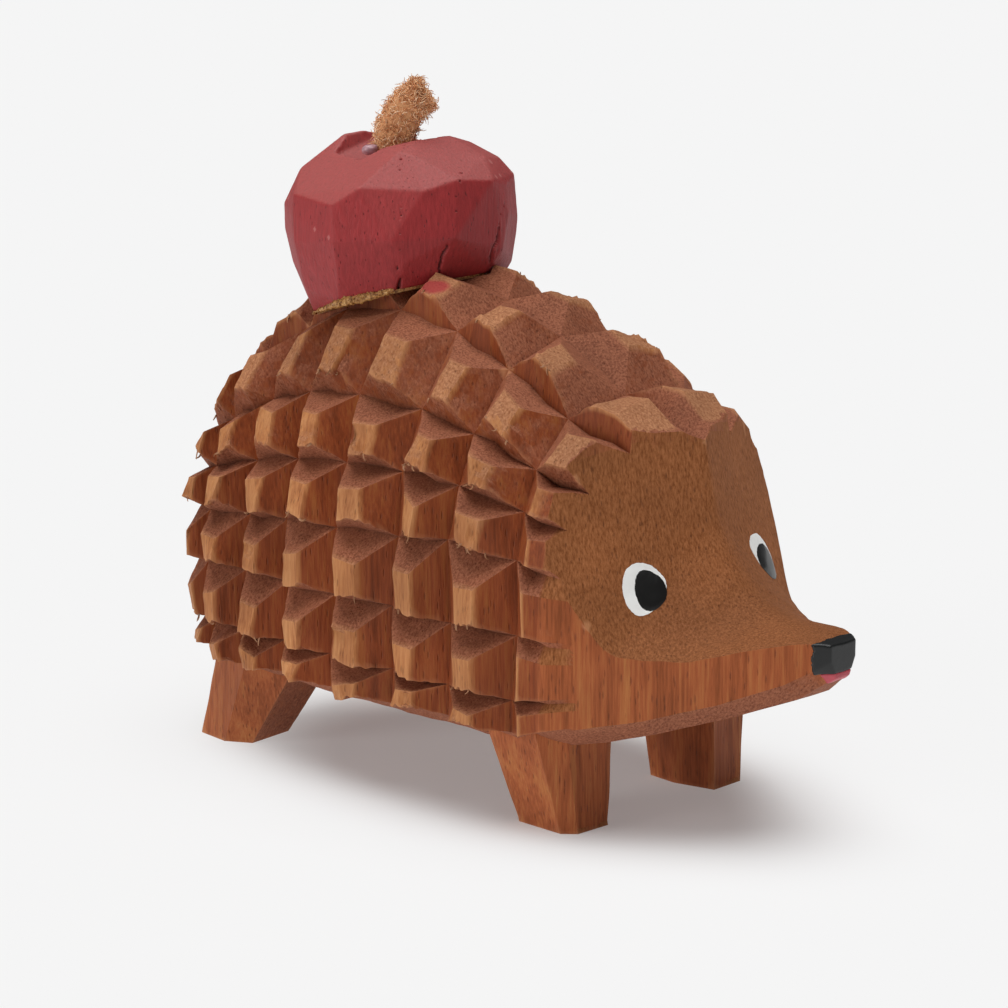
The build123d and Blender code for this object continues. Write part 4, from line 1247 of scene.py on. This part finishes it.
class HEDGEHOG_OT_stage(bpy.types.Operator):
    """Add the pale floor, the soft lights and the camera"""
    bl_idname = "hedgehog.stage"
    bl_label = "Stage"

    def execute(self, context):
        scene = context.scene
        scene.view_settings.view_transform = "Standard"
        # The camera stands where the photograph was taken from
        right, near = (Vector(axis) for axis in viewer_axes())
        back = near * math.cos(CAMERA_TILT) + Vector((0, 0, math.sin(CAMERA_TILT)))
        up = back.cross(right)
        target = Vector(CAMERA_TARGET[:1] + (0, 0)) + right * CAMERA_TARGET[1] + up * CAMERA_TARGET[2]
        camera_data = bpy.data.cameras.new("camera")
        camera_data.sensor_width = 36.0
        camera_data.lens = CAMERA_LENS
        camera_data.clip_start = 0.01
        camera = bpy.data.objects.new("camera", camera_data)
        axes = Matrix((right, up, back)).transposed().to_4x4()
        camera.matrix_world = Matrix.Translation((target + back * CAMERA_DISTANCE) * MM) @ axes
        scene.collection.objects.link(camera)
        scene.camera = camera
        # A floor wide enough to fill the picture
        corners = FLOOR_REACH * np.array([(-1, -1, 0), (1, -1, 0), (1, 1, 0), (-1, 1, 0)])
        floor = loose("floor", make_mesh("floor", corners, [np.array([[0, 1, 2, 3]])]))
        floor.data.materials.append(lit_table())
        world = bpy.data.worlds.new("studio")
        scene.world = world
        world.use_nodes = True
        tree = world.node_tree
        tree.nodes.clear()
        camera_ray = add_node(tree, "LightPath").outputs["Is Camera Ray"]
        fill = add_node(tree, "Background", {"Color": linear("f4f6fa"), "Strength": 0.09})
        shown = add_node(tree, "Background", {"Color": linear(PALE_GREY), "Strength": 1.0})
        mixed = add_node(tree, "MixShader", {0: camera_ray, 1: fill, 2: shown})
        add_node(tree, "OutputWorld", {"Surface": mixed})
        for name, toward, angle, energy in LAMPS:
            data = bpy.data.lights.new(name, "SUN")
            data.angle, data.energy = math.radians(angle), energy
            lamp = bpy.data.objects.new(name, data)
            lamp.matrix_world = Vector(toward).to_track_quat("Z", "Y").to_matrix().to_4x4()
            scene.collection.objects.link(lamp)
        return {"FINISHED"}


def lit_table():
    """A table of matt white that glows: part of its brightness is emission, more so away from the figurine,
    painted light that keeps the shadow soft and fades it out round the foot."""
    material, tree, shader = new_material("studio_table")
    place = add_node(tree, "TexCoord").outputs["Object"]
    oval = add_node(tree, "VectorMath", {0: place, 1: (1 / 0.046, 1 / 0.026, 0.0)}, operation="MULTIPLY")
    away = add_node(tree, "VectorMath", {0: oval}, operation="LENGTH")
    # Painted light: the glow's share rises away from the figurine and lifts its shadow
    shares = {0: away, 1: 0.75, 2: 1.45, 3: 0.22, 4: 0.8}
    through = add_node(tree, "MapRange", shares, interpolation_type="SMOOTHSTEP")
    reflected = add_node(tree, "Math", {0: 1.0, 1: through}, operation="SUBTRACT")
    base = scaled_colour(tree, linear(PALE_GREY)[:3], reflected)
    feed(tree, shader, {"Base Color": base, "Roughness": 1.0, "Specular IOR Level": 0.0})
    feed(tree, shader, {"Emission Color": linear(PALE_GREY), "Emission Strength": through})
    return material


OPERATORS = (
    HEDGEHOG_OT_stage, HEDGEHOG_OT_carved_body, HEDGEHOG_OT_splinters, HEDGEHOG_OT_apple, HEDGEHOG_OT_stem,
    HEDGEHOG_OT_glue, HEDGEHOG_OT_eyes, HEDGEHOG_OT_snout_paint,
)


class HEDGEHOG_PT_panel(bpy.types.Panel):
    """Buttons and sizes of the hedgehog, in the sidebar of the 3D view"""
    bl_idname = "HEDGEHOG_PT_panel"
    bl_label = "Carved hedgehog"
    bl_space_type = "VIEW_3D"
    bl_region_type = "UI"
    bl_category = "Hedgehog"

    def draw(self, context):
        for group in SETTINGS:
            settings = getattr(context.scene, group)
            for name in settings.__annotations__:
                self.layout.prop(settings, name)
        for operator in OPERATORS:
            self.layout.operator(operator.bl_idname)


SETTINGS = {"hedgehog_body": BodySizes, "hedgehog_apple": AppleSizes, "hedgehog_finish": Finish}
CLASSES = tuple(SETTINGS.values()) + OPERATORS + (HEDGEHOG_PT_panel,)


def register():
    for cls in CLASSES:
        bpy.utils.register_class(cls)
    for name, cls in SETTINGS.items():
        setattr(bpy.types.Scene, name, bpy.props.PointerProperty(type=cls))


def unregister():
    for name in SETTINGS:
        delattr(bpy.types.Scene, name)
    for cls in reversed(CLASSES):
        bpy.utils.unregister_class(cls)


def main():
    register()
    bpy.ops.hedgehog.stage()
    bpy.ops.hedgehog.carved_body()
    bpy.ops.hedgehog.splinters()
    bpy.ops.hedgehog.apple()
    bpy.ops.hedgehog.stem()
    bpy.ops.hedgehog.glue()
    bpy.ops.hedgehog.eyes()
    bpy.ops.hedgehog.snout_paint()


if __name__ == "__main__":
    main()
